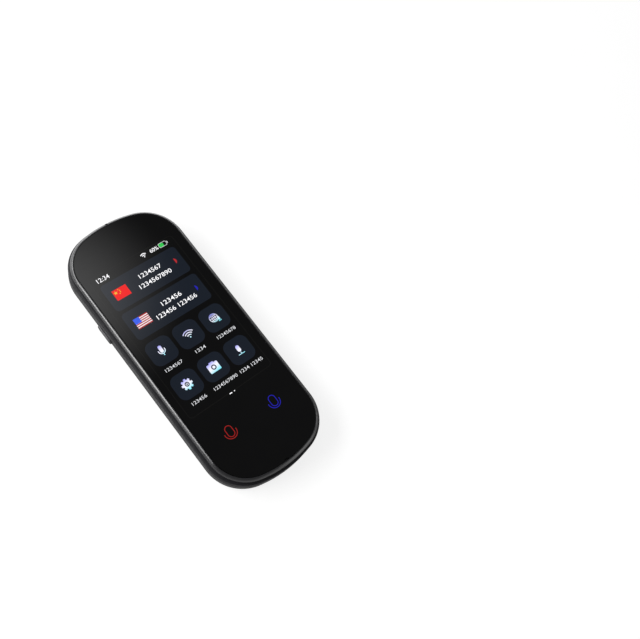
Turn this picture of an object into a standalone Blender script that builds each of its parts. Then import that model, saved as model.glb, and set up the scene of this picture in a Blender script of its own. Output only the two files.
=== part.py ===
# Handheld translator: a slab with round ends, a glass front and one side key.
# It lies on its back. +Z is the screen side, +Y the top end and +X the right side.
# The origin is the middle of the flat rear face.

import math

import bmesh
import bpy

mm = 0.001

# The display panel's lit area, and the margins that set the body around it
display_width = 41.9 * mm
display_length = 70.8 * mm
display_side_margin = 4.95 * mm
display_top_margin = 18.3 * mm
display_lower_margin = 37.9 * mm

# Body outline, seen from the front
end_radius = 51.1 * mm
corner_radius = 17.8 * mm

# Straight pieces that arcs are made of, and the angles that part smooth faces from sharp edges
corner_steps = 10
end_steps = 3
edge_steps = 3
bezel_edge_steps = 4
small_corner_steps = 3
round_end_steps = 6
round_steps = 28
small_round_steps = 14
screw_steps = 12
smooth_angle = math.radians(30)
bevel_angle = math.radians(40)

# Clearances
fit_gap = 0.3 * mm
cut_overrun = 1.0 * mm
weld_distance = 0.001 * mm

# Rear cover
cover_height = 6.9 * mm
cover_floor = 1.5 * mm
cover_wall = 1.6 * mm
cover_curve_height = 4.2 * mm
cover_curve_depth = 2.9 * mm
cover_curve_steps = 6
edge_break = 0.15 * mm

# Mid frame
frame_height = 2.6 * mm
frame_wall = 1.6 * mm
frame_edge_radius = 0.35 * mm
plate_rise = 0.6 * mm
plate_thickness = 0.8 * mm
lip_thickness = 0.8 * mm
lip_drop = 1.0 * mm
boss_radius = 2.0 * mm

# Front bezel
groove_height = 0.55 * mm
bezel_height = 1.75 * mm
bezel_width = 1.4 * mm
bezel_setback = 0.9 * mm
bezel_edge_radius = 0.9 * mm
ledge_width = 2.2 * mm
ledge_thickness = 0.6 * mm
neck_thickness = 0.7 * mm

# Cover glass and the tape under its edge
glass_thickness = 1.2 * mm
glass_rise = 0.15 * mm
glass_edge_radius = 0.5 * mm
tape_thickness = 0.3 * mm
tape_width = 1.6 * mm

# Microphone openings and microphones
mic_hole_radius = 0.55 * mm
mic_slot_length = 1.8 * mm
mic_slot_depth = 0.6 * mm
mic_length = 2.8 * mm
mic_width = 1.9 * mm
mic_height = 0.9 * mm
boot_wall = 0.4 * mm
boot_height = 0.6 * mm
boot_hole_radius = 0.5 * mm

# Display stack
display_thickness = 0.8 * mm
backlight_margin = 0.2 * mm
backlight_tail = 1.4 * mm
display_corner_radius = 1.0 * mm
flex_thickness = 0.2 * mm
display_flex_width = 12.0 * mm
display_flex_reach = 1.2 * mm
display_slot_length = 2.4 * mm

# Touch key board under the glass, with its two lamps
key_board_side_margin = 7.9 * mm
key_board_end_margin = 16.7 * mm
key_board_flex_gap = 3.7 * mm
key_board_thickness = 0.6 * mm
lamp_spacing = 21.2 * mm
lamp_length = 1.6 * mm
lamp_width = 1.0 * mm
lamp_height = 0.5 * mm
diffuser_side_margin = 3.0 * mm
diffuser_end_margin = 1.0 * mm
small_corner = 0.6 * mm

# Circuit boards, each reaching inwards from its end of the body.
# Places on a board are shares of half the body's width and of the board's length.
board_thickness = 0.8 * mm
board_inset = 3.4 * mm
main_board_reach = 46.0 * mm
lower_board_reach = 11.0 * mm
board_top_gap = 0.8 * mm
switch_notch_width = 6.0 * mm
switch_notch_length = 15.0 * mm
main_screw_shares = [(-0.52, 0.074), (0.75, 0.215), (-0.62, 0.707), (0.41, 0.871)]
lower_screw_shares = [(-0.55, 0.68), (0.42, 0.68)]

# Screws
screw_radius = 0.7 * mm
screw_head_radius = 1.3 * mm
screw_head_height = 0.6 * mm
screw_recess_radius = 0.55 * mm
screw_recess_depth = 0.35 * mm
screw_bite = 0.9 * mm

# Chips and can on the underside of the main board
can_width = 18.0 * mm
can_low_gap = 7.15 * mm
can_camera_gap = 3.05 * mm
can_height = 2.0 * mm
can_wall = 0.3 * mm
can_x_share = -0.23
processor_size = 12.0 * mm
processor_height = 1.0 * mm
memory_width = 9.0 * mm
memory_length = 7.0 * mm
memory_height = 0.9 * mm
memory_place_shares = (0.4, 0.335)

# Rear camera, its window and ring, and the flash
camera_place_shares = (0.47, 0.662)
camera_size = 8.5 * mm
camera_height = 2.8 * mm
camera_corner = 0.8 * mm
lens_radius = 3.2 * mm
lens_inner_radius = 1.6 * mm
lens_cone_depth = 0.5 * mm
camera_recess_radius = 5.5 * mm
camera_recess_depth = 0.95 * mm
camera_hole_radius = 3.6 * mm
camera_ring_wall = 0.75 * mm
flush_setback = 0.1 * mm
window_setback = 0.15 * mm
flash_spacing = 9.0 * mm
flash_recess_radius = 2.0 * mm
flash_hole_radius = 1.1 * mm
flash_lamp_size = 2.0 * mm
flash_lamp_height = 0.7 * mm
flash_stem_radius = 0.8 * mm

# USB-C socket at the top end
usb_width = 8.94 * mm
usb_height = 3.2 * mm
usb_depth = 7.4 * mm
usb_wall = 0.3 * mm
usb_floor = 0.5 * mm
usb_setback = 0.35 * mm
usb_centre_z = 3.9 * mm
usb_tongue_width = 6.7 * mm
usb_tongue_height = 0.7 * mm
usb_tongue_length = 4.8 * mm

# Battery
battery_wall_gap = 2.1 * mm
battery_cable_gap = 0.5 * mm
battery_board_gap = 4.5 * mm
battery_speaker_gap = 4.0 * mm
battery_edge_radius = 0.9 * mm
battery_corner = 1.5 * mm
battery_tape_thickness = 0.4 * mm
battery_tape_share = 0.8
battery_flex_width = 4.0 * mm
battery_flex_length = 7.6 * mm
connector_width = 5.0 * mm
connector_length = 2.6 * mm
connector_height = 1.1 * mm
connector_cable_spacing = 7.3 * mm

# Speaker, its gasket and mesh, and the slots behind it
speaker_width = 20.0 * mm
speaker_length = 12.0 * mm
speaker_height = 3.6 * mm
speaker_end_distance = 19.5 * mm
speaker_corner = 1.5 * mm
gasket_thickness = 0.4 * mm
gasket_wall = 1.4 * mm
mesh_thickness = 0.2 * mm
slot_count = 6
slot_length = 9.0 * mm
slot_width = 1.0 * mm
slot_pitch = 2.2 * mm

# Flex between the boards, and the Wi-Fi antenna
board_flex_width = 4.0 * mm
board_flex_side_distance = 9.6 * mm
board_flex_overlap = 2.2 * mm
antenna_width = 14.0 * mm
antenna_length = 4.0 * mm
antenna_place_shares = (-0.46, 0.782)

# Side key, its switch and bracket
key_board_distance = 5.8 * mm
key_centre_z = 4.5 * mm
key_length = 9.2 * mm
key_height = 2.8 * mm
key_rise = 0.65 * mm
key_edge_radius = 0.35 * mm
key_play = 0.25 * mm
key_travel = 0.35 * mm
key_flange_thickness = 0.6 * mm
key_flange_margin = 1.0 * mm
key_stem_radius = 0.8 * mm
key_stem_length = 0.6 * mm
plunger_radius = 0.8 * mm
plunger_length = 1.3 * mm
plunger_clearance = 0.3 * mm
switch_width = 4.7 * mm
switch_height = 3.0 * mm
switch_depth = 1.7 * mm
switch_floor = 0.4 * mm
switch_reach = 0.6 * mm
bracket_thickness = 0.4 * mm
bracket_width = 8.0 * mm
bracket_foot = 2.6 * mm

# Size of the body, worked out from the display panel and its margins
body_width = display_width + 2 * display_side_margin
body_length = display_top_margin + display_length + display_lower_margin
display_centre_y = (display_lower_margin - display_top_margin) / 2

# Heights of the layers, worked out from the sizes above
frame_low = cover_height + fit_gap
frame_top = frame_low + frame_height
plate_low = frame_low + plate_rise
plate_top = plate_low + plate_thickness
bezel_low = frame_top + groove_height
bezel_top = bezel_low + bezel_height
glass_top = bezel_top + glass_rise
glass_low = glass_top - glass_thickness
tape_low = glass_low - fit_gap - tape_thickness
ledge_top = tape_low - fit_gap
board_top = plate_low - board_top_gap
board_low = board_top - board_thickness
under_board = board_low - fit_gap
above_floor = cover_floor + fit_gap
lip_inset = cover_wall + fit_gap
neck_inset = frame_wall + fit_gap
bezel_inner = bezel_setback + bezel_width
glass_inset = bezel_inner + fit_gap

# Ends and lengths of the boards
main_board_low = body_length / 2 - main_board_reach
main_board_length = main_board_reach - board_inset
lower_board_low = board_inset - body_length / 2
lower_board_high = lower_board_reach - body_length / 2
lower_board_length = lower_board_reach - board_inset

# Places along and across the body, worked out from its ends and sides
key_centre_y = main_board_low + key_board_distance
speaker_centre_y = speaker_end_distance - body_length / 2
board_flex_x = body_width / 2 - board_flex_side_distance
connector_x = board_flex_x - connector_cable_spacing
camera_x = camera_place_shares[0] * body_width / 2
camera_y = main_board_low + camera_place_shares[1] * main_board_length
flash_x = camera_x - flash_spacing

# The shield can fills the space between the main board's lower edge and the camera
can_low = main_board_low + can_low_gap
can_length = camera_y - can_camera_gap - can_low
can_x = can_x_share * body_width / 2
can_y = can_low + can_length / 2

# The display flex leaves the backlight's lower end and drops through the carrier plate here
backlight_low_y = display_centre_y - display_length / 2 - backlight_tail
flex_drop_y = backlight_low_y - fit_gap - display_flex_reach

# The touch key board fills the space below the display flex
key_board_low = key_board_end_margin - body_length / 2
key_board_length = flex_drop_y - key_board_flex_gap - key_board_low
key_board_width = body_width - 2 * key_board_side_margin
key_board_centre_y = key_board_low + key_board_length / 2

# The battery fills the space between the left wall, the flex, the main board and the speaker
battery_left = cover_wall + battery_wall_gap - body_width / 2
battery_right = board_flex_x - board_flex_width / 2 - battery_cable_gap
battery_high = main_board_low - battery_board_gap
battery_low = speaker_centre_y + speaker_length / 2 + battery_speaker_gap
battery_width = battery_right - battery_left
battery_length = battery_high - battery_low
battery_centre_x = (battery_left + battery_right) / 2
battery_centre_y = (battery_low + battery_high) / 2


def clear_scene():
    for thing in list(bpy.data.objects):
        bpy.data.objects.remove(thing, do_unlink=True)


def new_collection(name):
    group = bpy.data.collections.new(name)
    bpy.context.scene.collection.children.link(group)
    return group


def make_material(name, colour, roughness, metallic=0.0):
    material = bpy.data.materials.new(name)
    material.use_nodes = True
    shader = material.node_tree.nodes["Principled BSDF"]
    shader.inputs["Base Color"].default_value = (*colour, 1.0)
    shader.inputs["Roughness"].default_value = roughness
    shader.inputs["Metallic"].default_value = metallic
    return material


clear_scene()
parts = new_collection("Handheld translator")
cutters = new_collection("Cutters")
assembly = bpy.data.objects.new("assembly", None)
parts.objects.link(assembly)

satin_black = make_material("satin black shell", (0.035, 0.035, 0.037), 0.42)
frame_grey = make_material("dark satin frame", (0.028, 0.028, 0.03), 0.38)
gloss_black = make_material("gloss black bezel", (0.02, 0.02, 0.022), 0.16)
glass_black = make_material("black cover glass", (0.006, 0.006, 0.007), 0.05)
key_grey = make_material("side key metal", (0.1, 0.1, 0.105), 0.35, 0.6)
board_green = make_material("circuit board", (0.02, 0.12, 0.06), 0.5)
chip_black = make_material("chip epoxy", (0.03, 0.03, 0.03), 0.6)
steel = make_material("steel", (0.55, 0.55, 0.56), 0.32, 1.0)
battery_grey = make_material("battery foil", (0.35, 0.36, 0.38), 0.4, 0.4)
tape_black = make_material("foam tape", (0.04, 0.04, 0.04), 0.9)
rubber = make_material("rubber", (0.05, 0.05, 0.05), 0.8)
flex_amber = make_material("flex film", (0.45, 0.22, 0.05), 0.4)
panel_grey = make_material("display panel", (0.03, 0.03, 0.035), 0.2)
backlight_white = make_material("backlight", (0.7, 0.7, 0.7), 0.5)
clear_window = make_material("window glass", (0.02, 0.02, 0.025), 0.06)
lamp_red = make_material("red lamp", (0.7, 0.05, 0.03), 0.3)
lamp_blue = make_material("blue lamp", (0.05, 0.06, 0.7), 0.3)
milky = make_material("diffuser", (0.8, 0.8, 0.8), 0.6)


def corner_centre():
    """Centre of a corner arc, and the angle from +Y at which it meets the end arc."""
    end_y = body_length / 2 - end_radius
    centre_x = body_width / 2 - corner_radius
    reach = end_radius - corner_radius
    centre_y = end_y + math.sqrt(reach ** 2 - centre_x ** 2)
    return centre_x, centre_y, end_y, math.asin(centre_x / reach)


def outline(inset):
    """Body outline moved inwards by inset: straight sides, corner arcs and flatter end arcs."""
    centre_x, centre_y, end_y, meeting = corner_centre()
    small = corner_radius - inset
    large = end_radius - inset
    quarter = []
    for step in range(corner_steps + 1):
        angle = (math.pi / 2 - meeting) * step / corner_steps
        quarter.append((centre_x + small * math.cos(angle), centre_y + small * math.sin(angle)))
    for step in range(1, end_steps + 1):
        angle = meeting * (1 - step / end_steps)
        quarter.append((large * math.sin(angle), end_y + large * math.cos(angle)))
    top = quarter + [(-x, y) for x, y in reversed(quarter[:-1])]
    return top + [(-x, -y) for x, y in top]


def half_width_at(inset, y):
    """Half the outline's width at a height y along the body."""
    centre_x, centre_y, end_y, meeting = corner_centre()
    small = corner_radius - inset
    large = end_radius - inset
    y = abs(y)
    if y <= centre_y:
        return body_width / 2 - inset
    if y <= centre_y + small * math.cos(meeting):
        return centre_x + math.sqrt(max(small ** 2 - (y - centre_y) ** 2, 0))
    return math.sqrt(max(large ** 2 - (y - end_y) ** 2, 0))


def clipped_outline(inset, low, high):
    """The stretch of the outline between two heights, closed by straight cuts."""
    side = [(half_width_at(inset, low), low)] if low > inset - body_length / 2 else []
    rim = [point for point in outline(inset) if point[0] > 0 and low < point[1] < high]
    side += sorted(rim, key=lambda point: point[1])
    if high < body_length / 2 - inset:
        side.append((half_width_at(inset, high), high))
    return side + [(-x, y) for x, y in reversed(side)]


def top_edge(inset, top, radius, steps=edge_steps):
    """Rounding of a top edge as (inset, height) points, from the outer wall to the top face."""
    points = []
    for step in range(steps + 1):
        angle = math.pi / 2 * step / steps
        points.append((inset + radius * (1 - math.cos(angle)), top - radius * (1 - math.sin(angle))))
    return points


def rounded_rectangle(width, length, radius, steps=small_corner_steps):
    """Rectangle with round corners. A radius of half the shorter side gives round ends."""
    points = []
    for quarter, (x_side, y_side) in enumerate([(1, 1), (-1, 1), (-1, -1), (1, -1)]):
        for step in range(steps + 1):
            angle = math.pi / 2 * (quarter + step / steps)
            x = x_side * (width / 2 - radius) + radius * math.cos(angle)
            y = y_side * (length / 2 - radius) + radius * math.sin(angle)
            if not points or math.dist(points[-1], (x, y)) > weld_distance:
                points.append((x, y))
    return points[:-1] if math.dist(points[0], points[-1]) < weld_distance else points


def circle_points(radius, centre=(0, 0), steps=screw_steps):
    turns = [2 * math.pi * step / steps for step in range(steps)]
    return [(centre[0] + radius * math.cos(t), centre[1] + radius * math.sin(t)) for t in turns]


def main_board_place(shares):
    """A place on the main board, as shares of half the body's width and of the board's length."""
    return shares[0] * body_width / 2, main_board_low + shares[1] * main_board_length


def lower_board_place(shares):
    """The same on the lower board."""
    return shares[0] * body_width / 2, lower_board_low + shares[1] * lower_board_length


def add_object(name, mesh, material, place=(0, 0, 0), parent=assembly):
    thing = bpy.data.objects.new(name, mesh)
    thing.location = place
    if material:
        mesh.materials.append(material)
        thing.parent = parent
        parts.objects.link(thing)
    else:
        thing.display_type = "WIRE"
        thing.hide_render = True
        cutters.objects.link(thing)
    return thing


def finish_mesh(name, shape):
    bmesh.ops.remove_doubles(shape, verts=shape.verts, dist=weld_distance)
    bmesh.ops.recalc_face_normals(shape, faces=shape.faces)
    mesh = bpy.data.meshes.new(name)
    shape.to_mesh(mesh)
    shape.free()
    mesh.shade_smooth()
    mesh.set_sharp_from_angle(angle=smooth_angle)
    return mesh


def swept(name, section, material, ring=False):
    """Loft through the body outline at each (inset, height) of a section.
    A ring's section is closed. Otherwise the first and last outlines are capped."""
    shape = bmesh.new()
    loops = [[shape.verts.new((x, y, height)) for x, y in outline(inset)]
             for inset, height in section]
    following = loops[1:] + loops[:1] if ring else loops[1:]
    for first, second in zip(loops, following):
        for index in range(len(first)):
            shape.faces.new((first[index - 1], first[index], second[index], second[index - 1]))
    if not ring:
        shape.faces.new(loops[0])
        shape.faces.new(loops[-1])
    return add_object(name, finish_mesh(name, shape), material)


def flat(name, outlines, thickness, material, place=(0, 0, 0), parent=assembly):
    """Flat piece from closed outlines, its lower face at the given place.
    Outlines inside the first one are holes."""
    curve = bpy.data.curves.new(name, "CURVE")
    curve.dimensions = "2D"
    curve.fill_mode = "BOTH"
    curve.extrude = thickness / 2
    for points in outlines:
        spline = curve.splines.new("POLY")
        spline.points.add(len(points) - 1)
        for point, (x, y) in zip(spline.points, points):
            point.co = (x, y, 0, 1)
        spline.use_cyclic_u = True
    guide = bpy.data.objects.new(name, curve)
    cutters.objects.link(guide)
    evaluated = guide.evaluated_get(bpy.context.evaluated_depsgraph_get())
    shape = bmesh.new()
    raw = bpy.data.meshes.new_from_object(evaluated)
    shape.from_mesh(raw)
    bpy.data.objects.remove(guide, do_unlink=True)
    bmesh.ops.translate(shape, verts=shape.verts, vec=(0, 0, thickness / 2))
    return add_object(name, finish_mesh(name, shape), material, place, parent)


def block(name, size, material, place, corner=0, parent=assembly):
    """Upright block with rounded corners, its lower face centred on the given place."""
    width, length, height = size
    if corner:
        outlines = [rounded_rectangle(width, length, corner)]
        return flat(name, outlines, height, material, place, parent)
    shape = bmesh.new()
    bmesh.ops.create_cube(shape, size=1)
    bmesh.ops.scale(shape, vec=size, verts=shape.verts)
    bmesh.ops.translate(shape, verts=shape.verts, vec=(0, 0, height / 2))
    return add_object(name, finish_mesh(name, shape), material, place, parent)


def rod(name, radius, length, material, place, parent=assembly, steps=small_round_steps):
    shape = bmesh.new()
    bmesh.ops.create_cone(shape, cap_ends=True, segments=steps, radius1=radius,
                          radius2=radius, depth=length)
    bmesh.ops.translate(shape, verts=shape.verts, vec=(0, 0, length / 2))
    return add_object(name, finish_mesh(name, shape), material, place, parent)


def turned(name, profile, material, place, steps=round_steps):
    """Turned piece from a profile of (radius, height) that runs down its outer side."""
    mesh = bpy.data.meshes.new(name)
    corners = [(radius, 0, height) for radius, height in profile]
    edges = [(index, index + 1) for index in range(len(corners) - 1)]
    if profile[0][0] > 0:
        edges.append((len(corners) - 1, 0))
    mesh.from_pydata(corners, edges, [])
    thing = add_object(name, mesh, material, place)
    screw = thing.modifiers.new("turn", "SCREW")
    screw.steps = steps
    screw.render_steps = steps
    screw.use_merge_vertices = True
    screw.merge_threshold = weld_distance
    return thing


def combine(target, tool, operation, solver="EXACT"):
    """Cuts the tool out of the target, or joins it on. The tool stays hidden with the cutters."""
    modifier = target.modifiers.new(tool.name, "BOOLEAN")
    modifier.operation = operation
    modifier.object = tool
    modifier.solver = solver


def cut(target, tool, solver="EXACT"):
    combine(target, tool, "DIFFERENCE", solver)


def join(target, tool):
    combine(target, tool, "UNION")


def round_edges(thing, width, segments=2):
    bevel = thing.modifiers.new("round edges", "BEVEL")
    bevel.width = width
    bevel.segments = segments
    bevel.limit_method = "ANGLE"
    bevel.angle_limit = bevel_angle


def lay_sideways(thing):
    """Turns a piece built upwards so that its height points along +X."""
    thing.rotation_euler = (math.pi / 2, 0, math.pi / 2)


def curved_side(inset, floor, radial, rise):
    """Lower side curve as (inset, height) points, from the flat face up to the straight wall."""
    points = []
    for step in range(cover_curve_steps + 1):
        angle = math.pi / 2 * step / cover_curve_steps
        points.append((inset + radial * (1 - math.sin(angle)), floor + rise * (1 - math.cos(angle))))
    return points


def make_rear_cover():
    outer = curved_side(0, 0, cover_curve_depth, cover_curve_height)
    inner = curved_side(cover_wall, cover_floor, cover_curve_depth - cover_wall,
                        cover_curve_height - cover_floor)
    rim = [(0, cover_height - edge_break), (edge_break, cover_height), (cover_wall, cover_height)]
    cover = swept("rear_cover", outer + rim + inner[::-1], satin_black)
    recess = rod("camera recess", camera_recess_radius, camera_recess_depth + cut_overrun, None,
                 (camera_x, camera_y, -cut_overrun), steps=round_steps)
    hole = rod("camera hole", camera_hole_radius, cover_floor + 2 * cut_overrun, None,
               (camera_x, camera_y, -cut_overrun), steps=round_steps)
    flash_recess = rod("flash recess", flash_recess_radius, camera_recess_depth + cut_overrun, None,
                       (flash_x, camera_y, -cut_overrun))
    flash_hole = rod("flash hole", flash_hole_radius, cover_floor + 2 * cut_overrun, None,
                     (flash_x, camera_y, -cut_overrun))
    tools = [recess, hole, flash_recess, flash_hole]
    for index in range(slot_count):
        offset = (index - (slot_count - 1) / 2) * slot_pitch
        slot_shape = [rounded_rectangle(slot_width, slot_length, slot_width / 2)]
        slot = flat("speaker slot", slot_shape, cover_floor + 2 * cut_overrun, None,
                    (offset, speaker_centre_y, -cut_overrun))
        tools.append(slot)
    key_shape = [rounded_rectangle(key_length + 2 * key_play, key_height + 2 * key_play,
                                   key_height / 2 + key_play)]
    key_slot = flat("key slot", key_shape, cover_wall + 2 * cut_overrun, None,
                    (-body_width / 2 - cut_overrun, key_centre_y, key_centre_z))
    lay_sideways(key_slot)
    tools.append(key_slot)
    port_shape = [rounded_rectangle(usb_width + 2 * fit_gap, usb_height + 2 * fit_gap,
                                    usb_height / 2 + fit_gap)]
    port = flat("port opening", port_shape, cover_curve_depth + 2 * cut_overrun, None,
                (0, body_length / 2 + cut_overrun, usb_centre_z))
    port.rotation_euler = (math.pi / 2, 0, 0)
    tools.append(port)
    # The exact solver leaves open edges where the recesses meet the cover's flat floor
    for tool in tools:
        cut(cover, tool, "MANIFOLD")


def make_mid_frame():
    section = [(lip_inset + lip_thickness, plate_low),
               (lip_inset + lip_thickness, frame_low - lip_drop),
               (lip_inset, frame_low - lip_drop), (lip_inset, frame_low),
               (edge_break, frame_low), (0, frame_low + edge_break)]
    section += top_edge(0, frame_top, frame_edge_radius)
    section += [(frame_wall, frame_top), (frame_wall, plate_top)]
    frame = swept("mid_frame", section, frame_grey)
    depth = plate_low - board_top - fit_gap
    places = [main_board_place(shares) for shares in main_screw_shares]
    places += [lower_board_place(shares) for shares in lower_screw_shares]
    for index, (x, y) in enumerate(places):
        boss = rod(f"boss {index}", boss_radius, depth + plate_thickness / 2, None,
                   (x, y, plate_low - depth))
        join(frame, boss)
        bore = rod(f"bore {index}", screw_radius + fit_gap, screw_bite + depth + cut_overrun, None,
                   (x, y, plate_low - depth - cut_overrun))
        cut(frame, bore)
    cut_height = plate_thickness + 2 * cut_overrun
    cut_low = plate_low - cut_overrun
    end_face = body_length / 2 - board_inset
    for sign in (1, -1):
        window = block("microphone window", (2 * mic_length, 2 * mic_width, cut_height), None,
                       (0, sign * (end_face - mic_width), cut_low))
        cut(frame, window)
    slot_size = (display_flex_width + 2 * fit_gap, display_slot_length, cut_height)
    slot = block("display flex slot", slot_size, None, (0, flex_drop_y, cut_low))
    cut(frame, slot)


def make_front_bezel():
    section = [(neck_inset, plate_top + fit_gap), (neck_inset, bezel_low),
               (bezel_setback + edge_break, bezel_low), (bezel_setback, bezel_low + edge_break)]
    section += top_edge(bezel_setback, bezel_top, bezel_edge_radius, bezel_edge_steps)
    section += [(bezel_inner - edge_break, bezel_top), (bezel_inner, bezel_top - edge_break),
                (bezel_inner, ledge_top), (bezel_inner + ledge_width, ledge_top),
                (bezel_inner + ledge_width, ledge_top - ledge_thickness),
                (neck_inset + neck_thickness, ledge_top - ledge_thickness),
                (neck_inset + neck_thickness, plate_top + fit_gap)]
    bezel = swept("front_bezel", section, gloss_black, ring=True)
    rim_middle = body_length / 2 - bezel_setback - bezel_width / 2
    hole = rod("top microphone hole", mic_hole_radius, bezel_height, None,
               (0, rim_middle, bezel_low + bezel_width / 2))
    cut(bezel, hole)
    run = rim_middle - (body_length / 2 - board_inset - mic_width) + mic_hole_radius
    passage = block("top microphone passage", (2 * mic_hole_radius, run, bezel_width), None,
                    (0, rim_middle + mic_hole_radius - run / 2, bezel_low))
    cut(bezel, passage)
    slot_y = glass_inset + mic_slot_depth - body_length / 2
    slot = block("bottom microphone slot", (mic_slot_length, 2 * mic_slot_depth, bezel_height),
                 None, (0, slot_y, ledge_top - bezel_height / 2))
    cut(bezel, slot)


def make_cover_glass():
    section = [(glass_inset, glass_low)] + top_edge(glass_inset, glass_top, glass_edge_radius)
    glass = swept("cover_glass", section, glass_black)
    slot = block("glass slot", (mic_slot_length, 2 * mic_slot_depth, glass_thickness + 2 * cut_overrun),
                 None, (0, glass_inset - body_length / 2, glass_low - cut_overrun))
    cut(glass, slot)
    swept("glass_tape", [(glass_inset, tape_low), (glass_inset, tape_low + tape_thickness),
                         (glass_inset + tape_width, tape_low + tape_thickness),
                         (glass_inset + tape_width, tape_low)], tape_black, ring=True)


def make_display():
    panel_low = glass_low - fit_gap - display_thickness
    block("display_panel", (display_width, display_length, display_thickness), panel_grey,
          (0, display_centre_y, panel_low), display_corner_radius)
    light_low = plate_top + fit_gap
    light_length = display_length + backlight_tail
    block("backlight_unit", (display_width - 2 * backlight_margin, light_length,
                             panel_low - fit_gap - light_low),
          backlight_white, (0, display_centre_y - backlight_tail / 2, light_low), display_corner_radius)
    flex_bottom = board_top + fit_gap
    flex_top = light_low + 2 * flex_thickness
    tail_end = lower_board_high - board_flex_overlap
    near = backlight_low_y - fit_gap
    drop = flex_drop_y
    profile = [(near, flex_top), (drop, flex_top), (drop, flex_bottom + flex_thickness),
               (tail_end, flex_bottom + flex_thickness), (tail_end, flex_bottom),
               (drop + flex_thickness, flex_bottom), (drop + flex_thickness, flex_top - flex_thickness),
               (near, flex_top - flex_thickness)]
    flex = flat("display_flex", [profile], display_flex_width, flex_amber,
                (-display_flex_width / 2, 0, 0))
    lay_sideways(flex)


def make_touch_keys():
    board_z = plate_top + fit_gap
    block("touch_key_board", (key_board_width, key_board_length, key_board_thickness), board_green,
          (0, key_board_centre_y, board_z), small_corner)
    lamp_z = board_z + key_board_thickness + fit_gap
    for name, sign, material in (("red_lamp", -1, lamp_red), ("blue_lamp", 1, lamp_blue)):
        block(name, (lamp_length, lamp_width, lamp_height), material,
              (sign * lamp_spacing / 2, key_board_centre_y, lamp_z))
    sheet_z = glass_low - fit_gap - flex_thickness
    sheet_size = (key_board_width - 2 * diffuser_side_margin,
                  key_board_length - 2 * diffuser_end_margin, flex_thickness)
    block("lamp_diffuser", sheet_size, milky, (0, key_board_centre_y, sheet_z), small_corner)


def make_screws(prefix, places):
    for index, (x, y) in enumerate(places, start=1):
        head = under_board - screw_head_height
        tip = plate_low + screw_bite - fit_gap
        profile = [(0, tip - head), (screw_radius, tip - head), (screw_radius, screw_head_height),
                   (screw_head_radius, screw_head_height), (screw_head_radius, 0),
                   (screw_recess_radius, 0), (screw_recess_radius, screw_recess_depth),
                   (0, screw_recess_depth)]
        turned(f"{prefix}_{index}", profile, steel, (x, y, head), screw_steps)


def make_boards():
    hole = screw_radius + fit_gap
    main_places = [main_board_place(shares) for shares in main_screw_shares]
    main_outline = clipped_outline(board_inset, main_board_low, body_length)
    main_holes = [circle_points(hole, place) for place in main_places]
    main = flat("main_board", [main_outline] + main_holes, board_thickness, board_green,
                (0, 0, board_low))
    notch_size = (2 * switch_notch_width, switch_notch_length, board_thickness + 2 * cut_overrun)
    notch = block("switch notch", notch_size, None,
                  (board_inset - body_width / 2, key_centre_y, board_low - cut_overrun))
    cut(main, notch)
    lower_outline = clipped_outline(board_inset, -body_length, lower_board_high)
    lower_places = [lower_board_place(shares) for shares in lower_screw_shares]
    lower_holes = [circle_points(hole, place) for place in lower_places]
    flat("lower_board", [lower_outline] + lower_holes, board_thickness, board_green,
         (0, 0, board_low))
    make_screws("main_board_screw", main_places)
    make_screws("lower_board_screw", lower_places)


def make_chips():
    can = block("shield_can", (can_width, can_length, can_height), steel,
                (can_x, can_y, under_board - can_height), small_corner)
    hollow = block("can hollow", (can_width - 2 * can_wall, can_length - 2 * can_wall, can_height),
                   None, (can_x, can_y, under_board - can_height + can_wall), small_corner - can_wall)
    cut(can, hollow)
    block("processor", (processor_size, processor_size, processor_height), chip_black,
          (can_x, can_y, under_board - processor_height))
    memory_x, memory_y = main_board_place(memory_place_shares)
    block("memory_chip", (memory_width, memory_length, memory_height), chip_black,
          (memory_x, memory_y, under_board - memory_height))
    antenna_x, antenna_y = main_board_place(antenna_place_shares)
    block("wifi_antenna", (antenna_width, antenna_length, flex_thickness), flex_amber,
          (antenna_x, antenna_y, above_floor), small_corner)


def make_microphones():
    for name, sign in (("top", 1), ("bottom", -1)):
        y = sign * (body_length / 2 - board_inset - mic_width / 2 - fit_gap)
        base = board_top + fit_gap
        block(f"{name}_microphone", (mic_length, mic_width, mic_height), steel, (0, y, base))
        boot_z = base + mic_height + fit_gap
        boot_outline = rounded_rectangle(mic_length + boot_wall, mic_width + boot_wall, small_corner)
        flat(f"{name}_microphone_boot", [boot_outline, circle_points(boot_hole_radius)], boot_height,
             rubber, (0, y, boot_z))


def make_camera():
    block("camera_body", (camera_size, camera_size, camera_height), chip_black,
          (camera_x, camera_y, under_board - camera_height), camera_corner)
    barrel_top = under_board - camera_height - fit_gap
    barrel = barrel_top - above_floor
    profile = [(0, barrel), (lens_radius, barrel), (lens_radius, 0), (lens_inner_radius, 0),
               (0, lens_cone_depth)]
    turned("camera_lens", profile, gloss_black, (camera_x, camera_y, above_floor))
    seat = camera_recess_depth - fit_gap
    ring_outer = camera_recess_radius - fit_gap
    ring_inner = ring_outer - camera_ring_wall
    profile = [(ring_inner, seat - flush_setback), (ring_outer, seat - flush_setback), (ring_outer, 0),
               (ring_inner, 0)]
    turned("camera_ring", profile, steel, (camera_x, camera_y, flush_setback))
    rod("camera_window", ring_inner - fit_gap, seat - window_setback, clear_window,
        (camera_x, camera_y, window_setback), steps=round_steps)
    rod("flash_window", flash_recess_radius - fit_gap, seat - window_setback, milky,
        (flash_x, camera_y, window_setback))
    lamp_z = under_board - flash_lamp_height
    block("flash_lamp", (flash_lamp_size, flash_lamp_size, flash_lamp_height), backlight_white,
          (flash_x, camera_y, lamp_z))
    stem_low = seat + fit_gap
    rod("flash_light_pipe", flash_stem_radius, lamp_z - fit_gap - stem_low, milky,
        (flash_x, camera_y, stem_low))


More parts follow.
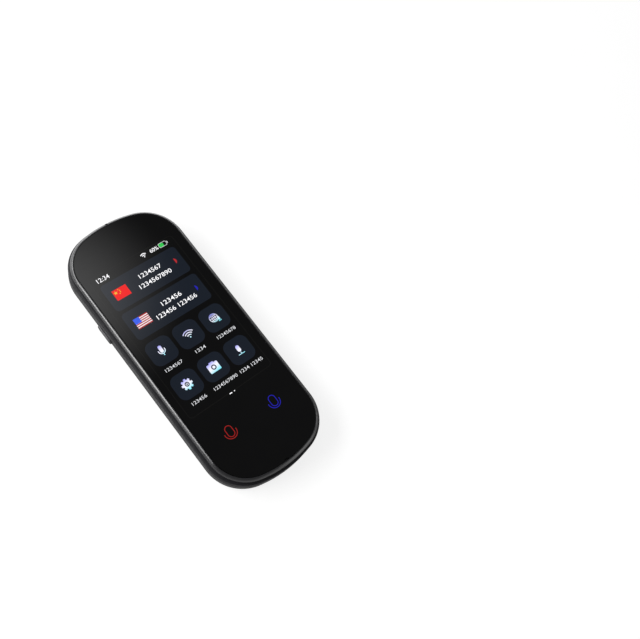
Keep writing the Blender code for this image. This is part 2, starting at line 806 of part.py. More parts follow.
def make_usb_socket():
    face_y = body_length / 2 - usb_setback
    shell_shape = [rounded_rectangle(usb_width, usb_height, usb_height / 2, round_end_steps)]
    shell = flat("usb_shell", shell_shape, usb_depth, steel, (0, face_y, usb_centre_z))
    shell.rotation_euler = (math.pi / 2, 0, 0)
    hollow_height = usb_height - 2 * usb_wall
    hollow_shape = [rounded_rectangle(usb_width - 2 * usb_wall, hollow_height, hollow_height / 2,
                                      round_end_steps)]
    hollow = flat("usb hollow", hollow_shape, usb_depth - usb_floor + cut_overrun, None,
                  (0, face_y + cut_overrun, usb_centre_z))
    hollow.rotation_euler = (math.pi / 2, 0, 0)
    cut(shell, hollow)
    tongue_start = face_y - usb_depth + usb_floor + fit_gap
    block("usb_tongue", (usb_tongue_width, usb_tongue_length, usb_tongue_height), chip_black,
          (0, tongue_start + usb_tongue_length / 2, usb_centre_z - usb_tongue_height / 2))


def make_battery():
    tape_size = (battery_width * battery_tape_share, battery_length * battery_tape_share,
                 battery_tape_thickness)
    place = (battery_centre_x, battery_centre_y, above_floor)
    block("battery_tape", tape_size, tape_black, place, battery_corner)
    low = above_floor + battery_tape_thickness + fit_gap
    height = board_top - low
    battery = block("battery", (battery_width, battery_length, height), battery_grey,
                    (battery_centre_x, battery_centre_y, low), battery_corner)
    round_edges(battery, battery_edge_radius)
    plug_z = under_board - connector_height
    flex_y = battery_high + fit_gap + battery_flex_length / 2
    block("battery_flex", (battery_flex_width, battery_flex_length, flex_thickness), flex_amber,
          (connector_x, flex_y, plug_z - fit_gap - flex_thickness))
    plug_y = flex_y + (battery_flex_length - connector_length) / 2
    block("battery_connector", (connector_width, connector_length, connector_height), milky,
          (connector_x, plug_y, plug_z))


def make_speaker():
    mesh_size = (speaker_width - gasket_wall, speaker_length - gasket_wall, mesh_thickness)
    block("speaker_mesh", mesh_size, steel, (0, speaker_centre_y, above_floor), speaker_corner)
    gasket_z = above_floor + mesh_thickness + fit_gap
    outer = rounded_rectangle(speaker_width, speaker_length, speaker_corner)
    inner = rounded_rectangle(speaker_width - 2 * gasket_wall, speaker_length - 2 * gasket_wall,
                              speaker_corner / 2)
    flat("speaker_gasket", [outer, inner], gasket_thickness, tape_black, (0, speaker_centre_y, gasket_z))
    speaker = block("speaker", (speaker_width, speaker_length, speaker_height), chip_black,
                    (0, speaker_centre_y, gasket_z + gasket_thickness + fit_gap), speaker_corner)
    round_edges(speaker, small_corner)


def make_board_flex():
    low = lower_board_high - board_flex_overlap
    high = main_board_low + board_flex_overlap
    block("board_flex", (board_flex_width, high - low, flex_thickness), flex_amber,
          (board_flex_x, (low + high) / 2, under_board - flex_thickness))


def make_side_key():
    """The key and the switch's plunger slide together along +X."""
    slide = bpy.data.objects.new("side_key_slide", None)
    slide.location = (-body_width / 2, key_centre_y, key_centre_z)
    slide.parent = assembly
    parts.objects.link(slide)
    flange_back = cover_wall + fit_gap + key_travel / 2 + key_flange_thickness
    cap_shape = [rounded_rectangle(key_length, key_height, key_height / 2, round_end_steps)]
    key = flat("side_key", cap_shape, key_rise + flange_back, key_grey, (-key_rise, 0, 0), slide)
    lay_sideways(key)
    round_edges(key, key_edge_radius)
    world_x = -body_width / 2
    flange_length = key_length + 2 * key_flange_margin
    flange_shape = [rounded_rectangle(flange_length, key_height, key_height / 2)]
    flange = flat("key flange", flange_shape, key_flange_thickness, None,
                  (world_x + flange_back - key_flange_thickness, key_centre_y, key_centre_z))
    lay_sideways(flange)
    join(key, flange)
    stem = rod("key stem", key_stem_radius, key_stem_length + key_flange_thickness, None,
               (world_x + flange_back - key_flange_thickness, key_centre_y, key_centre_z))
    lay_sideways(stem)
    join(key, stem)
    plunger_start = flange_back + key_stem_length + fit_gap
    plunger = rod("switch_plunger", plunger_radius, plunger_length, milky, (plunger_start, 0, 0), slide)
    lay_sideways(plunger)
    body_start = world_x + plunger_start + switch_reach
    switch = block("side_switch", (switch_width, switch_height, switch_depth), chip_black,
                   (body_start, key_centre_y, key_centre_z))
    lay_sideways(switch)
    pocket = rod("plunger pocket", plunger_radius + plunger_clearance,
                 switch_depth - switch_floor + cut_overrun, None,
                 (body_start - cut_overrun, key_centre_y, key_centre_z))
    lay_sideways(pocket)
    cut(switch, pocket)
    make_bracket(body_start + switch_depth + fit_gap)


def make_bracket(start_x):
    """Bent steel strip: an upright behind the switch and a foot under the carrier plate."""
    low = key_centre_z - switch_height / 2
    high = plate_low - fit_gap
    profile = [(0, low), (bracket_thickness, low), (bracket_thickness, high - bracket_thickness),
               (bracket_foot, high - bracket_thickness), (bracket_foot, high), (0, high)]
    bracket = flat("switch_bracket", [profile], bracket_width, steel,
                   (start_x, key_centre_y + bracket_width / 2, 0))
    bracket.rotation_euler = (math.pi / 2, 0, 0)


make_rear_cover()
make_mid_frame()
make_front_bezel()
make_cover_glass()
make_display()
make_touch_keys()
make_boards()
make_chips()
make_microphones()
make_camera()
make_usb_socket()
make_battery()
make_speaker()
make_board_flex()
make_side_key()
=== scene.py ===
import math

import bmesh
import bpy
from mathutils import Matrix, Quaternion, Vector


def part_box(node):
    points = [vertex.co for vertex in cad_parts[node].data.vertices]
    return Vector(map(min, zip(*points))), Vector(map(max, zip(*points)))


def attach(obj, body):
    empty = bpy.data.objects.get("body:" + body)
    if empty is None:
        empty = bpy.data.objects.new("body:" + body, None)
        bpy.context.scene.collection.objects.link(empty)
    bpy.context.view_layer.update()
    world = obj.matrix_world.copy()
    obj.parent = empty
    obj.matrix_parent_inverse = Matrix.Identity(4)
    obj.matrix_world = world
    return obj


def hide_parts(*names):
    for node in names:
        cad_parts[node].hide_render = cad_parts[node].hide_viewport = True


# A handheld translator lying on its back: screen up (+Z), socket end away (+Y), key on the left (-X)
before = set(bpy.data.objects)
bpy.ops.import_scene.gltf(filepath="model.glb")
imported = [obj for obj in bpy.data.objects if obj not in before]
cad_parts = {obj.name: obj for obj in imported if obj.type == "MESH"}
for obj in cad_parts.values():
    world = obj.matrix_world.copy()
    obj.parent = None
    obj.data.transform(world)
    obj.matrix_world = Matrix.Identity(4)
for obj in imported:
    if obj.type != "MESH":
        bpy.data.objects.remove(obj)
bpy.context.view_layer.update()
mm = 0.001
tiny = 0.0001 * mm


# Camera, light and floor

view = {
    "place": (-96.88 * mm, -82.30 * mm, 311.59 * mm),
    "target": (49.17 * mm, -22.21 * mm, 12.0 * mm),
    "roll": math.radians(31.07),
    "lens": 45.0,
    "sensor": 36.0,
}


def makeCamera():
    data = bpy.data.cameras.new("productCamera")
    data.lens = view["lens"]
    data.sensor_width = view["sensor"]
    camera = bpy.data.objects.new("productCamera", data)
    bpy.context.collection.objects.link(camera)
    gaze = Vector(view["target"]) - Vector(view["place"])
    camera.location = view["place"]
    camera.rotation_mode = "QUATERNION"
    camera.rotation_quaternion = gaze.to_track_quat("-Z", "Y") @ Quaternion((0, 0, 1), view["roll"])
    bpy.context.scene.camera = camera
    bpy.context.scene.view_settings.view_transform = "Standard"


def put(tree, kind, values=None, **settings):
    # adds a node; a value that is a socket gets linked, any other value is set
    node = tree.nodes.new(kind)
    for name, value in settings.items():
        setattr(node, name, value)
    for key, value in (values or {}).items():
        if isinstance(value, bpy.types.NodeSocket):
            tree.links.new(value, node.inputs[key])
        else:
            node.inputs[key].default_value = value
    return node


def calc(tree, operation, first, second=0.0, third=0.0):
    # one Math node
    return put(tree, "ShaderNodeMath", {0: first, 1: second, 2: third}, operation=operation).outputs[0]


def span(tree, value, low, high, toLow=0.0, toHigh=1.0, smooth=True):
    # one Map Range node
    kind = "SMOOTHSTEP" if smooth else "LINEAR"
    return put(tree, "ShaderNodeMapRange",
               {"Value": value, "From Min": low, "From Max": high, "To Min": toLow, "To Max": toHigh},
               interpolation_type=kind).outputs[0]


def blend(tree, amount, first, second):
    # a value between two others
    return put(tree, "ShaderNodeMix", {0: amount, 2: first, 3: second}).outputs[0]


def blendColor(tree, amount, first, second, how="MIX"):
    return put(tree, "ShaderNodeMix", {0: amount, 6: first, 7: second}, data_type="RGBA",
               blend_type=how).outputs[2]


def vectorCalc(tree, operation, first, second=(0.0, 0.0, 0.0), output=0):
    # one Vector Math node
    return put(tree, "ShaderNodeVectorMath", {0: first, 1: second}, operation=operation).outputs[output]


def objectPlace(tree):
    return put(tree, "ShaderNodeTexCoord").outputs["Object"]


def axesOf(tree, vector):
    return put(tree, "ShaderNodeSeparateXYZ", {0: vector}).outputs


def noise(tree, where, scale, detail=2.0, distortion=0.0):
    values = {"Vector": where, "Scale": scale, "Detail": detail, "Distortion": distortion}
    return put(tree, "ShaderNodeTexNoise", values).outputs[0]


sky = {
    "background": 1.0,  # what the camera sees
    "fill": 0.38,  # what lights the object
    "horizon": 0.9,  # reflected low down
    "ceiling": 0.085,  # reflected overhead
    "horizonLow": 0.05,
    "horizonTop": 0.55,
    "lowest": 0.01,  # keeps the slope finite at the horizon
    "patchCentre": (0.2, 0.42, 0.0),  # soft patch overhead, as a slope from the zenith
    "patchCore": 0.0,
    "patchReach": 0.18,
    "patchLight": 1.7,
    # soft glows low in the room, seen in reflections: compass angle, height angle, reach, brightness
    "glows": ((-20, 20, 16, 2.4), (64, 18, 20, 1.5), (106, 23, 22, 2.8), (124, 24, 18, 2.6),
              (-58, 20, 20, 1.0)),
}


def aim(turn, rise):
    # a direction from its compass and height angles in degrees
    turn, rise = math.radians(turn), math.radians(rise)
    return Vector((math.cos(turn) * math.cos(rise), math.sin(turn) * math.cos(rise), math.sin(rise)))


def makeWorld():
    world = bpy.data.worlds.new("studioWorld")
    bpy.context.scene.world = world
    world.use_nodes = True
    tree = world.node_tree
    tree.nodes.clear()
    direction = put(tree, "ShaderNodeTexCoord").outputs["Generated"]
    axes = axesOf(tree, direction)
    height = calc(tree, "MAXIMUM", axes[2], sky["lowest"])
    slope = put(tree, "ShaderNodeCombineXYZ",
                {0: calc(tree, "DIVIDE", axes[0], height), 1: calc(tree, "DIVIDE", axes[1], height)})
    away = vectorCalc(tree, "DISTANCE", slope.outputs[0], sky["patchCentre"], "Value")
    patch = span(tree, away, sky["patchCore"], sky["patchReach"], sky["patchLight"], 0.0)
    falloff = span(tree, axes[2], sky["horizonLow"], sky["horizonTop"], sky["horizon"], sky["ceiling"])
    mirrored = calc(tree, "ADD", falloff, patch)
    for turn, rise, reach, light in sky["glows"]:
        near = vectorCalc(tree, "DOT_PRODUCT", direction, aim(turn, rise), "Value")
        glow = span(tree, near, math.cos(math.radians(reach)), 1.0, 0.0, light)
        mirrored = calc(tree, "ADD", mirrored, glow)
    rays = put(tree, "ShaderNodeLightPath").outputs
    seen = calc(tree, "MAXIMUM", rays["Is Camera Ray"], rays["Is Transmission Ray"])
    plain = blend(tree, seen, sky["fill"], sky["background"])
    level = blend(tree, rays["Is Glossy Ray"], plain, mirrored)
    shade = put(tree, "ShaderNodeBackground", {"Color": (1, 1, 1, 1), "Strength": level})
    put(tree, "ShaderNodeOutputWorld", {0: shade.outputs[0]})


# One long lamp on the key's side; turn is its compass angle from +X, rise its height angle
strip = {"turn": 140, "rise": 37, "away": 0.9, "size": (0.95, 0.34), "light": 9.0}


def makeLamp():
    data = bpy.data.lights.new("keyStrip", "AREA")
    data.shape = "RECTANGLE"
    data.size, data.size_y = strip["size"]
    data.energy = strip["light"] * math.pi * data.size * data.size_y
    lamp = bpy.data.objects.new("keyStrip", data)
    bpy.context.collection.objects.link(lamp)
    out = aim(strip["turn"], strip["rise"])
    lamp.location = out * strip["away"]
    lamp.rotation_mode = "QUATERNION"
    lamp.rotation_quaternion = (-out).to_track_quat("-Z", "Y")


floorLook = {
    "reach": 6.0, "drop": 0.02 * mm, "color": (0.3, 0.3, 0.3, 1),
    "ripple": 40.0, "rippleSpan": (0.3, 0.7), "rippleAmount": 0.02,
    "glow": 0.79, "farGlow": 0.89, "near": 0.25, "far": 1.4,  # what the camera sees, close by and far off
    "mirrorGlow": 0.15, "backGlow": 2.0, "backNear": 56 * mm, "backFar": 84 * mm,  # what gloss sees
    "contact": 0.6 * mm,  # rays shorter than this pass through
}


def makeFloor():
    bpy.ops.object.select_all(action="DESELECT")
    bpy.ops.mesh.primitive_plane_add(size=floorLook["reach"], location=(0, 0, -floorLook["drop"]))
    floor = bpy.context.object
    floor.name = "studioFloor"
    bpy.ops.object.transform_apply(location=True, rotation=True, scale=True)
    material = bpy.data.materials.new("paleFloor")
    material.use_nodes = True
    tree = material.node_tree
    tree.nodes.clear()
    where = objectPlace(tree)
    cloud = noise(tree, where, floorLook["ripple"])
    tone = span(tree, cloud, *floorLook["rippleSpan"], 1 - floorLook["rippleAmount"], 1.0)
    color = blendColor(tree, 1.0, floorLook["color"], tone, "MULTIPLY")
    matte = put(tree, "ShaderNodeBsdfDiffuse", {"Color": color}).outputs[0]
    rays = put(tree, "ShaderNodeLightPath").outputs
    mirrored = calc(tree, "MAXIMUM", rays["Is Glossy Ray"], rays["Is Transmission Ray"])
    away = vectorCalc(tree, "LENGTH", where, output="Value")
    pale = span(tree, away, floorLook["near"], floorLook["far"], floorLook["glow"], floorLook["farGlow"])
    # beyond the socket end the floor is lit more strongly, as its reflection in the rim there shows
    behind = span(tree, axesOf(tree, where)[1], floorLook["backNear"], floorLook["backFar"],
                  floorLook["mirrorGlow"], floorLook["backGlow"])
    level = calc(tree, "ADD", calc(tree, "MULTIPLY", rays["Is Camera Ray"], pale),
                 calc(tree, "MULTIPLY", mirrored, behind))
    glow = put(tree, "ShaderNodeEmission", {"Strength": level})
    both = put(tree, "ShaderNodeAddShader", {0: matte, 1: glow.outputs[0]}).outputs[0]
    clear = put(tree, "ShaderNodeBsdfTransparent").outputs[0]
    # seen from below the floor is clear, and it lets light reach the face that lies on it
    touching = calc(tree, "MULTIPLY", calc(tree, "LESS_THAN", rays["Ray Length"], floorLook["contact"]),
                    calc(tree, "SUBTRACT", 1.0, rays["Is Camera Ray"]))
    below = put(tree, "ShaderNodeNewGeometry").outputs["Backfacing"]
    under = calc(tree, "MAXIMUM", below, touching)
    shown = put(tree, "ShaderNodeMixShader", {0: under, 1: both, 2: clear}).outputs[0]
    put(tree, "ShaderNodeOutputMaterial", {0: shown})
    floor.data.materials.append(material)


# Shared surface effects, one node group each

effects = {
    # slow: the roll's scale against that of the pits
    "grain": {"slow": 0.16, "detail": 3.0, "tone": (0.35, 0.65)},
    "marks": {"turn": 0.6, "draw": (1.0, 3.2, 1.0), "detail": 4.0, "bend": 0.6, "streaks": 2.5,
              "streakDetail": 3.0, "streakShare": 0.35, "soft": 0.18},
    "rub": {"detail": 3.0, "patches": (0.35, 0.7)},
    "dust": {"rare": 0.8},
    "fade": {"slant": 0.25},
    "pixels": {"soft": 0.2},
}


def newGroup(name, inputs, outputs):
    group = bpy.data.node_groups.new(name, "ShaderNodeTree")
    for label, value in inputs.items():
        kind = "NodeSocketVector" if isinstance(value, tuple) else "NodeSocketFloat"
        socket = group.interface.new_socket(name=label, in_out="INPUT", socket_type=kind)
        socket.default_value = value
    for label in outputs:
        group.interface.new_socket(name=label, in_out="OUTPUT", socket_type="NodeSocketFloat")
    return group, group.nodes.new("NodeGroupInput").outputs, objectPlace(group)


def closeGroup(group, **values):
    leave = group.nodes.new("NodeGroupOutput")
    for label, value in values.items():
        group.links.new(value, leave.inputs[label])


def makeGrainGroup():
    # moulded or blasted texture: fine pits over a slower roll; Stretch draws it out into brush lines
    group, entry, where = newGroup(
        "mouldGrain", {"Scale": 3000.0, "Stretch": (1.0, 1.0, 1.0), "Roll": 0.3}, ["Height", "Tone"])
    look = effects["grain"]
    drawn = vectorCalc(group, "MULTIPLY", where, entry["Stretch"])
    fine = noise(group, drawn, entry["Scale"], look["detail"])
    slow = noise(group, drawn, calc(group, "MULTIPLY", entry["Scale"], look["slow"]))
    height = blend(group, entry["Roll"], fine, slow)
    closeGroup(group, Height=height, Tone=span(group, height, *look["tone"]))


def makeMarksGroup():
    # finger marks and faint wiping streaks, as a mask for roughness
    group, entry, where = newGroup("handMarks", {"Scale": 60.0, "Cover": 0.5}, ["Mask"])
    look = effects["marks"]
    turned = put(group, "ShaderNodeMapping", {"Vector": where, "Rotation": (0, 0, look["turn"]),
                                              "Scale": look["draw"]}).outputs[0]
    blot = noise(group, where, entry["Scale"], look["detail"], look["bend"])
    streakScale = calc(group, "MULTIPLY", entry["Scale"], look["streaks"])
    streak = noise(group, turned, streakScale, look["streakDetail"])
    mixed = blend(group, look["streakShare"], blot, streak)
    edge = calc(group, "SUBTRACT", 1.0, entry["Cover"])
    low = calc(group, "SUBTRACT", edge, look["soft"])
    high = calc(group, "ADD", edge, look["soft"])
    closeGroup(group, Mask=span(group, mixed, low, high))


def makeRubGroup():
    # edges that cloth and hands have polished
    group, entry, where = newGroup("edgeRub", {"Start": 0.52, "Reach": 0.12, "Break": 250.0}, ["Mask"])
    bend = put(group, "ShaderNodeNewGeometry").outputs["Pointiness"]
    end = calc(group, "ADD", entry["Start"], entry["Reach"])
    edge = span(group, bend, entry["Start"], end)
    patchy = noise(group, where, entry["Break"], effects["rub"]["detail"])
    shown = span(group, patchy, *effects["rub"]["patches"])
    closeGroup(group, Mask=calc(group, "MULTIPLY", edge, shown))


def makeDustGroup():
    # sparse tiny specks
    group, entry, where = newGroup("dustSpecks", {"Scale": 500.0, "Size": 0.08}, ["Mask"])
    cells = put(group, "ShaderNodeTexVoronoi", {"Vector": where, "Scale": entry["Scale"]}).outputs
    small = calc(group, "LESS_THAN", cells["Distance"], entry["Size"])
    rare = calc(group, "GREATER_THAN", axesOf(group, cells["Color"])[0], effects["dust"]["rare"])
    closeGroup(group, Mask=calc(group, "MULTIPLY", small, rare))


def makeFadeGroup():
    # a slope from 1 at the top to 0 at the foot of a drawn sign
    group, entry, where = newGroup("signFade", {"Middle": (0.0, 0.0, 0.0), "Reach": 5 * mm}, ["Amount"])
    axes = axesOf(group, vectorCalc(group, "SUBTRACT", where, entry["Middle"]))
    slant = calc(group, "SUBTRACT", axes[1], calc(group, "MULTIPLY", axes[0], effects["fade"]["slant"]))
    share = calc(group, "ADD", calc(group, "DIVIDE", slant, entry["Reach"]), 0.5)
    closeGroup(group, Amount=span(group, share, 0.0, 1.0, smooth=False))


def makePixelGroup():
    # the panel's rows and columns, as a slight dip in brightness between pixels
    group, entry, where = newGroup("pixelGrid", {"Pitch": 0.09 * mm, "Gap": 0.18}, ["Level"])
    lines = []
    for axis in axesOf(group, where)[:2]:
        step = calc(group, "PINGPONG", calc(group, "DIVIDE", axis, entry["Pitch"]), 0.5)
        lines.append(span(group, step, 0.0, effects["pixels"]["soft"]))
    cell = calc(group, "MULTIPLY", lines[0], lines[1])
    dip = calc(group, "MULTIPLY", calc(group, "SUBTRACT", 1.0, cell), entry["Gap"])
    closeGroup(group, Level=calc(group, "SUBTRACT", 1.0, dip))


def effect(tree, name, output=0, **values):
    node = put(tree, "ShaderNodeGroup", node_tree=bpy.data.node_groups[name])
    for label, value in values.items():
        node.inputs[label].default_value = value
    return node.outputs[output]


# Finishes. Colours are linear; "rough" runs from clean to marked surface

# what a finish has where it says nothing else
plainFinish = {
    "spread": 0.15, "stretch": (1, 1, 1), "roll": 0.3, "mottleShare": 0.1, "mottleRoll": 0.5,
    "marks": 60.0, "cover": 0.45, "rub": None, "rubStart": 0.53, "rubBreak": 300.0, "rubShine": 0.7,
    "dust": None, "dustShare": 0.35, "dustColor": (0.4, 0.4, 0.38, 1), "draw": None,
    "bump": 0.2, "depth": 0.02 * mm, "shader": {},
}


def makeFinish(name, settings):
    look = {**plainFinish, **settings}
    material = bpy.data.materials.new(name)
    material.use_nodes = True
    tree = material.node_tree
    shader = tree.nodes["Principled BSDF"]
    darker, paler = (tuple(min(1.0, part * (1 + side * look["spread"])) for part in look["color"]) + (1,)
                     for side in (-1, 1))
    grain = effect(tree, "mouldGrain", "Height", Scale=look["grain"], Stretch=look["stretch"],
                   Roll=look["roll"])
    tone = effect(tree, "mouldGrain", "Tone", Scale=look["grain"] * look["mottleShare"],
                  Stretch=look["stretch"], Roll=look["mottleRoll"])
    color = blendColor(tree, tone, darker, paler)
    marks = effect(tree, "handMarks", Scale=look["marks"], Cover=look["cover"])
    rough = span(tree, marks, 0.0, 1.0, *look["rough"])
    if look["rub"]:
        worn = effect(tree, "edgeRub", Start=look["rubStart"], Break=look["rubBreak"])
        color = blendColor(tree, worn, color, look["rub"] + (1,))
        rough = blend(tree, worn, rough, look["rough"][0] * look["rubShine"])
    if look["dust"]:
        specks = calc(tree, "MULTIPLY", effect(tree, "dustSpecks", Scale=look["dust"]), look["dustShare"])
        color = blendColor(tree, specks, color, look["dustColor"])
    if look["draw"]:
        color = look["draw"](tree, color)
    tree.links.new(color, shader.inputs["Base Color"])
    tree.links.new(rough, shader.inputs["Roughness"])
    bump = put(tree, "ShaderNodeBump", {"Height": grain, "Strength": look["bump"],
                                        "Distance": look["depth"]})
    tree.links.new(bump.outputs[0], shader.inputs["Normal"])
    for label, value in look["shader"].items():
        shader.inputs[label].default_value = value
    return material


traces = {
    "runs": ((0.0, 0.31), (math.pi / 2, 0.67)),  # turn, and shift in millimetres
    "runScale": 340.0, "runEdge": (0.6, 0.75), "areaScale": 160.0, "areaShare": 0.5,
    "copperShare": 0.7, "copper": (0.06, 0.26, 0.12, 1),
    "padScale": 420.0, "padOrder": 0.4, "padRare": 0.8, "padSize": 0.22, "gold": (0.75, 0.55, 0.2, 1),
}


def drawTraces(tree, color):
    # copper runs under the solder mask, and gold pads
    t = traces
    where = objectPlace(tree)
    for turn, shift in t["runs"]:
        laid = put(tree, "ShaderNodeMapping", {"Vector": where, "Rotation": (0, 0, turn),
                                               "Location": (shift * mm, shift * mm, 0)}).outputs[0]
        run = put(tree, "ShaderNodeTexWave", {"Vector": laid, "Scale": t["runScale"]},
                  bands_direction="X").outputs[1]
        area = put(tree, "ShaderNodeTexVoronoi", {"Vector": laid, "Scale": t["areaScale"]},
                   distance="CHEBYCHEV").outputs["Color"]
        chosen = calc(tree, "GREATER_THAN", axesOf(tree, area)[0], t["areaShare"])
        copper = calc(tree, "MULTIPLY", span(tree, run, *t["runEdge"]), chosen)
        color = blendColor(tree, calc(tree, "MULTIPLY", copper, t["copperShare"]), color, t["copper"])
    pads = put(tree, "ShaderNodeTexVoronoi", {"Vector": where, "Scale": t["padScale"],
                                              "Randomness": t["padOrder"]}).outputs
    rare = calc(tree, "GREATER_THAN", axesOf(tree, pads["Color"])[1], t["padRare"])
    pad = calc(tree, "MULTIPLY", calc(tree, "LESS_THAN", pads["Distance"], t["padSize"]), rare)
    return blendColor(tree, pad, color, t["gold"])


filmRuns = {"scale": 520.0, "edge": (0.45, 0.6), "color": (0.62, 0.33, 0.1, 1)}


def drawFilmRuns(tree, color):
    # parallel conductors showing through the film
    runs = put(tree, "ShaderNodeTexWave", {"Vector": objectPlace(tree), "Scale": filmRuns["scale"]},
               bands_direction="X").outputs[1]
    return blendColor(tree, span(tree, runs, *filmRuns["edge"]), color, filmRuns["color"])


creases = {"scale": 90.0, "fold": (0.0, 0.06, 0.45, 0.0), "color": (0.62, 0.63, 0.66, 1)}


def drawCreases(tree, color):
    # the pouch cell's folded foil
    folds = put(tree, "ShaderNodeTexVoronoi", {"Vector": objectPlace(tree), "Scale": creases["scale"]},
                feature="DISTANCE_TO_EDGE").outputs[0]
    return blendColor(tree, span(tree, folds, *creases["fold"]), color, creases["color"])


pores = {"scale": 5200.0, "hole": (0.1, 0.4, 0.8, 0.0), "color": (0.008, 0.008, 0.008, 1)}


def drawCells(tree, color):
    # open pores of a foam tape
    holes = put(tree, "ShaderNodeTexVoronoi",
                {"Vector": objectPlace(tree), "Scale": pores["scale"]}).outputs["Distance"]
    return blendColor(tree, span(tree, holes, *pores["hole"]), color, pores["color"])


finishes = {
    "shellBlack": {"color": (0.019, 0.019, 0.021), "rough": (0.34, 0.42), "grain": 5200.0, "bump": 0.35,
                   "depth": 0.015 * mm, "rub": (0.06, 0.06, 0.063), "dust": 420.0,
                   "shader": {"Specular IOR Level": 0.45}},
    "bandSatin": {"color": (0.014, 0.014, 0.016), "rough": (0.36, 0.44), "grain": 6400.0, "bump": 0.22,
                  "depth": 0.01 * mm, "rub": (0.04, 0.04, 0.043), "shader": {"Specular IOR Level": 0.16}},
    "rimGloss": {"color": (0.020, 0.020, 0.022), "rough": (0.19, 0.26), "grain": 7400.0, "bump": 0.03,
                 "depth": 0.006 * mm, "rub": (0.05, 0.05, 0.055), "shader": {"Specular IOR Level": 0.85}},
    "glassBlack": {"color": (0.0022, 0.0022, 0.0024), "rough": (0.035, 0.075), "grain": 900.0,
                   "bump": 0.01, "depth": 0.002 * mm, "marks": 45.0, "cover": 0.42, "spread": 0.1},
    "keySatin": {"color": (0.085, 0.085, 0.09), "rough": (0.30, 0.38), "grain": 5200.0, "bump": 0.2,
                 "stretch": (1.0, 0.08, 1.0), "depth": 0.008 * mm, "rub": (0.25, 0.25, 0.26),
                 "shader": {"Metallic": 0.6}},
    "steelPressed": {"color": (0.52, 0.52, 0.54), "rough": (0.24, 0.36), "grain": 3600.0, "bump": 0.15,
                     "stretch": (1.0, 0.06, 1.0), "depth": 0.008 * mm, "rub": (0.75, 0.75, 0.77),
                     "shader": {"Metallic": 1.0}},
    "goldContact": {"color": (0.78, 0.55, 0.22), "rough": (0.22, 0.32), "grain": 4000.0, "bump": 0.1,
                    "shader": {"Metallic": 1.0}},
    "lensCoated": {"color": (0.006, 0.006, 0.010), "rough": (0.03, 0.07), "grain": 800.0, "bump": 0.01,
                   "depth": 0.002 * mm, "shader": {"Coat Weight": 0.6, "Coat Tint": (0.75, 0.7, 1.0, 1)}},
    "windowClear": {"color": (0.62, 0.62, 0.68), "rough": (0.0, 0.02), "grain": 800.0, "bump": 0.005,
                    "depth": 0.002 * mm, "shader": {"Transmission Weight": 0.92}},
    "milkyPlastic": {"color": (0.74, 0.74, 0.72), "rough": (0.30, 0.42), "grain": 4200.0, "bump": 0.12,
                     "spread": 0.05, "shader": {"Subsurface Weight": 0.25, "Subsurface Scale": 0.4 * mm}},
    "lightGuide": {"color": (0.70, 0.71, 0.72), "rough": (0.35, 0.45), "grain": 2600.0, "bump": 0.1,
                   "spread": 0.06},
    "maskGreen": {"color": (0.018, 0.13, 0.06), "rough": (0.28, 0.4), "grain": 3000.0, "bump": 0.15,
                  "draw": drawTraces},
    "epoxyBlack": {"color": (0.028, 0.028, 0.028), "rough": (0.55, 0.65), "grain": 4600.0, "bump": 0.4,
                   "dust": 900.0},
    "filmAmber": {"color": (0.42, 0.20, 0.045), "rough": (0.25, 0.35), "grain": 2400.0, "bump": 0.08,
                  "draw": drawFilmRuns},
    "foilDull": {"color": (0.33, 0.34, 0.36), "rough": (0.35, 0.5), "grain": 1500.0, "bump": 0.3,
                 "draw": drawCreases, "shader": {"Metallic": 0.85}},
    "foamBlack": {"color": (0.036, 0.036, 0.036), "rough": (0.8, 0.9), "grain": 5200.0, "bump": 0.8,
                  "draw": drawCells},
    "rubberSoft": {"color": (0.045, 0.045, 0.047), "rough": (0.65, 0.78), "grain": 4200.0, "bump": 0.4},
    "panelDark": {"color": (0.025, 0.026, 0.032), "rough": (0.12, 0.2), "grain": 2000.0, "bump": 0.03},
    "lampRed": {"color": (0.62, 0.045, 0.03), "rough": (0.2, 0.3), "grain": 2600.0, "bump": 0.05,
                "shader": {"Subsurface Weight": 0.3, "Subsurface Scale": 0.3 * mm}},
    "lampBlue": {"color": (0.045, 0.055, 0.65), "rough": (0.2, 0.3), "grain": 2600.0, "bump": 0.05,
                 "shader": {"Subsurface Weight": 0.3, "Subsurface Scale": 0.3 * mm}},
}


# Lit signs: the colour shines through the glass, broken by the panel's pixels

plainSign = {
    "base": (0.002, 0.002, 0.002, 1), "foot": None, "waist": None, "waistSpan": (0.45, 0.55),
    "cloud": 200.0, "cloudCover": 0.5, "cloudDip": 0.94, "pitch": 0.09 * mm, "gap": 0.12, "light": 1.0,
    "gloss": 0.15, "marks": 45.0, "cover": 0.42, "rough": (0.035, 0.075),
}


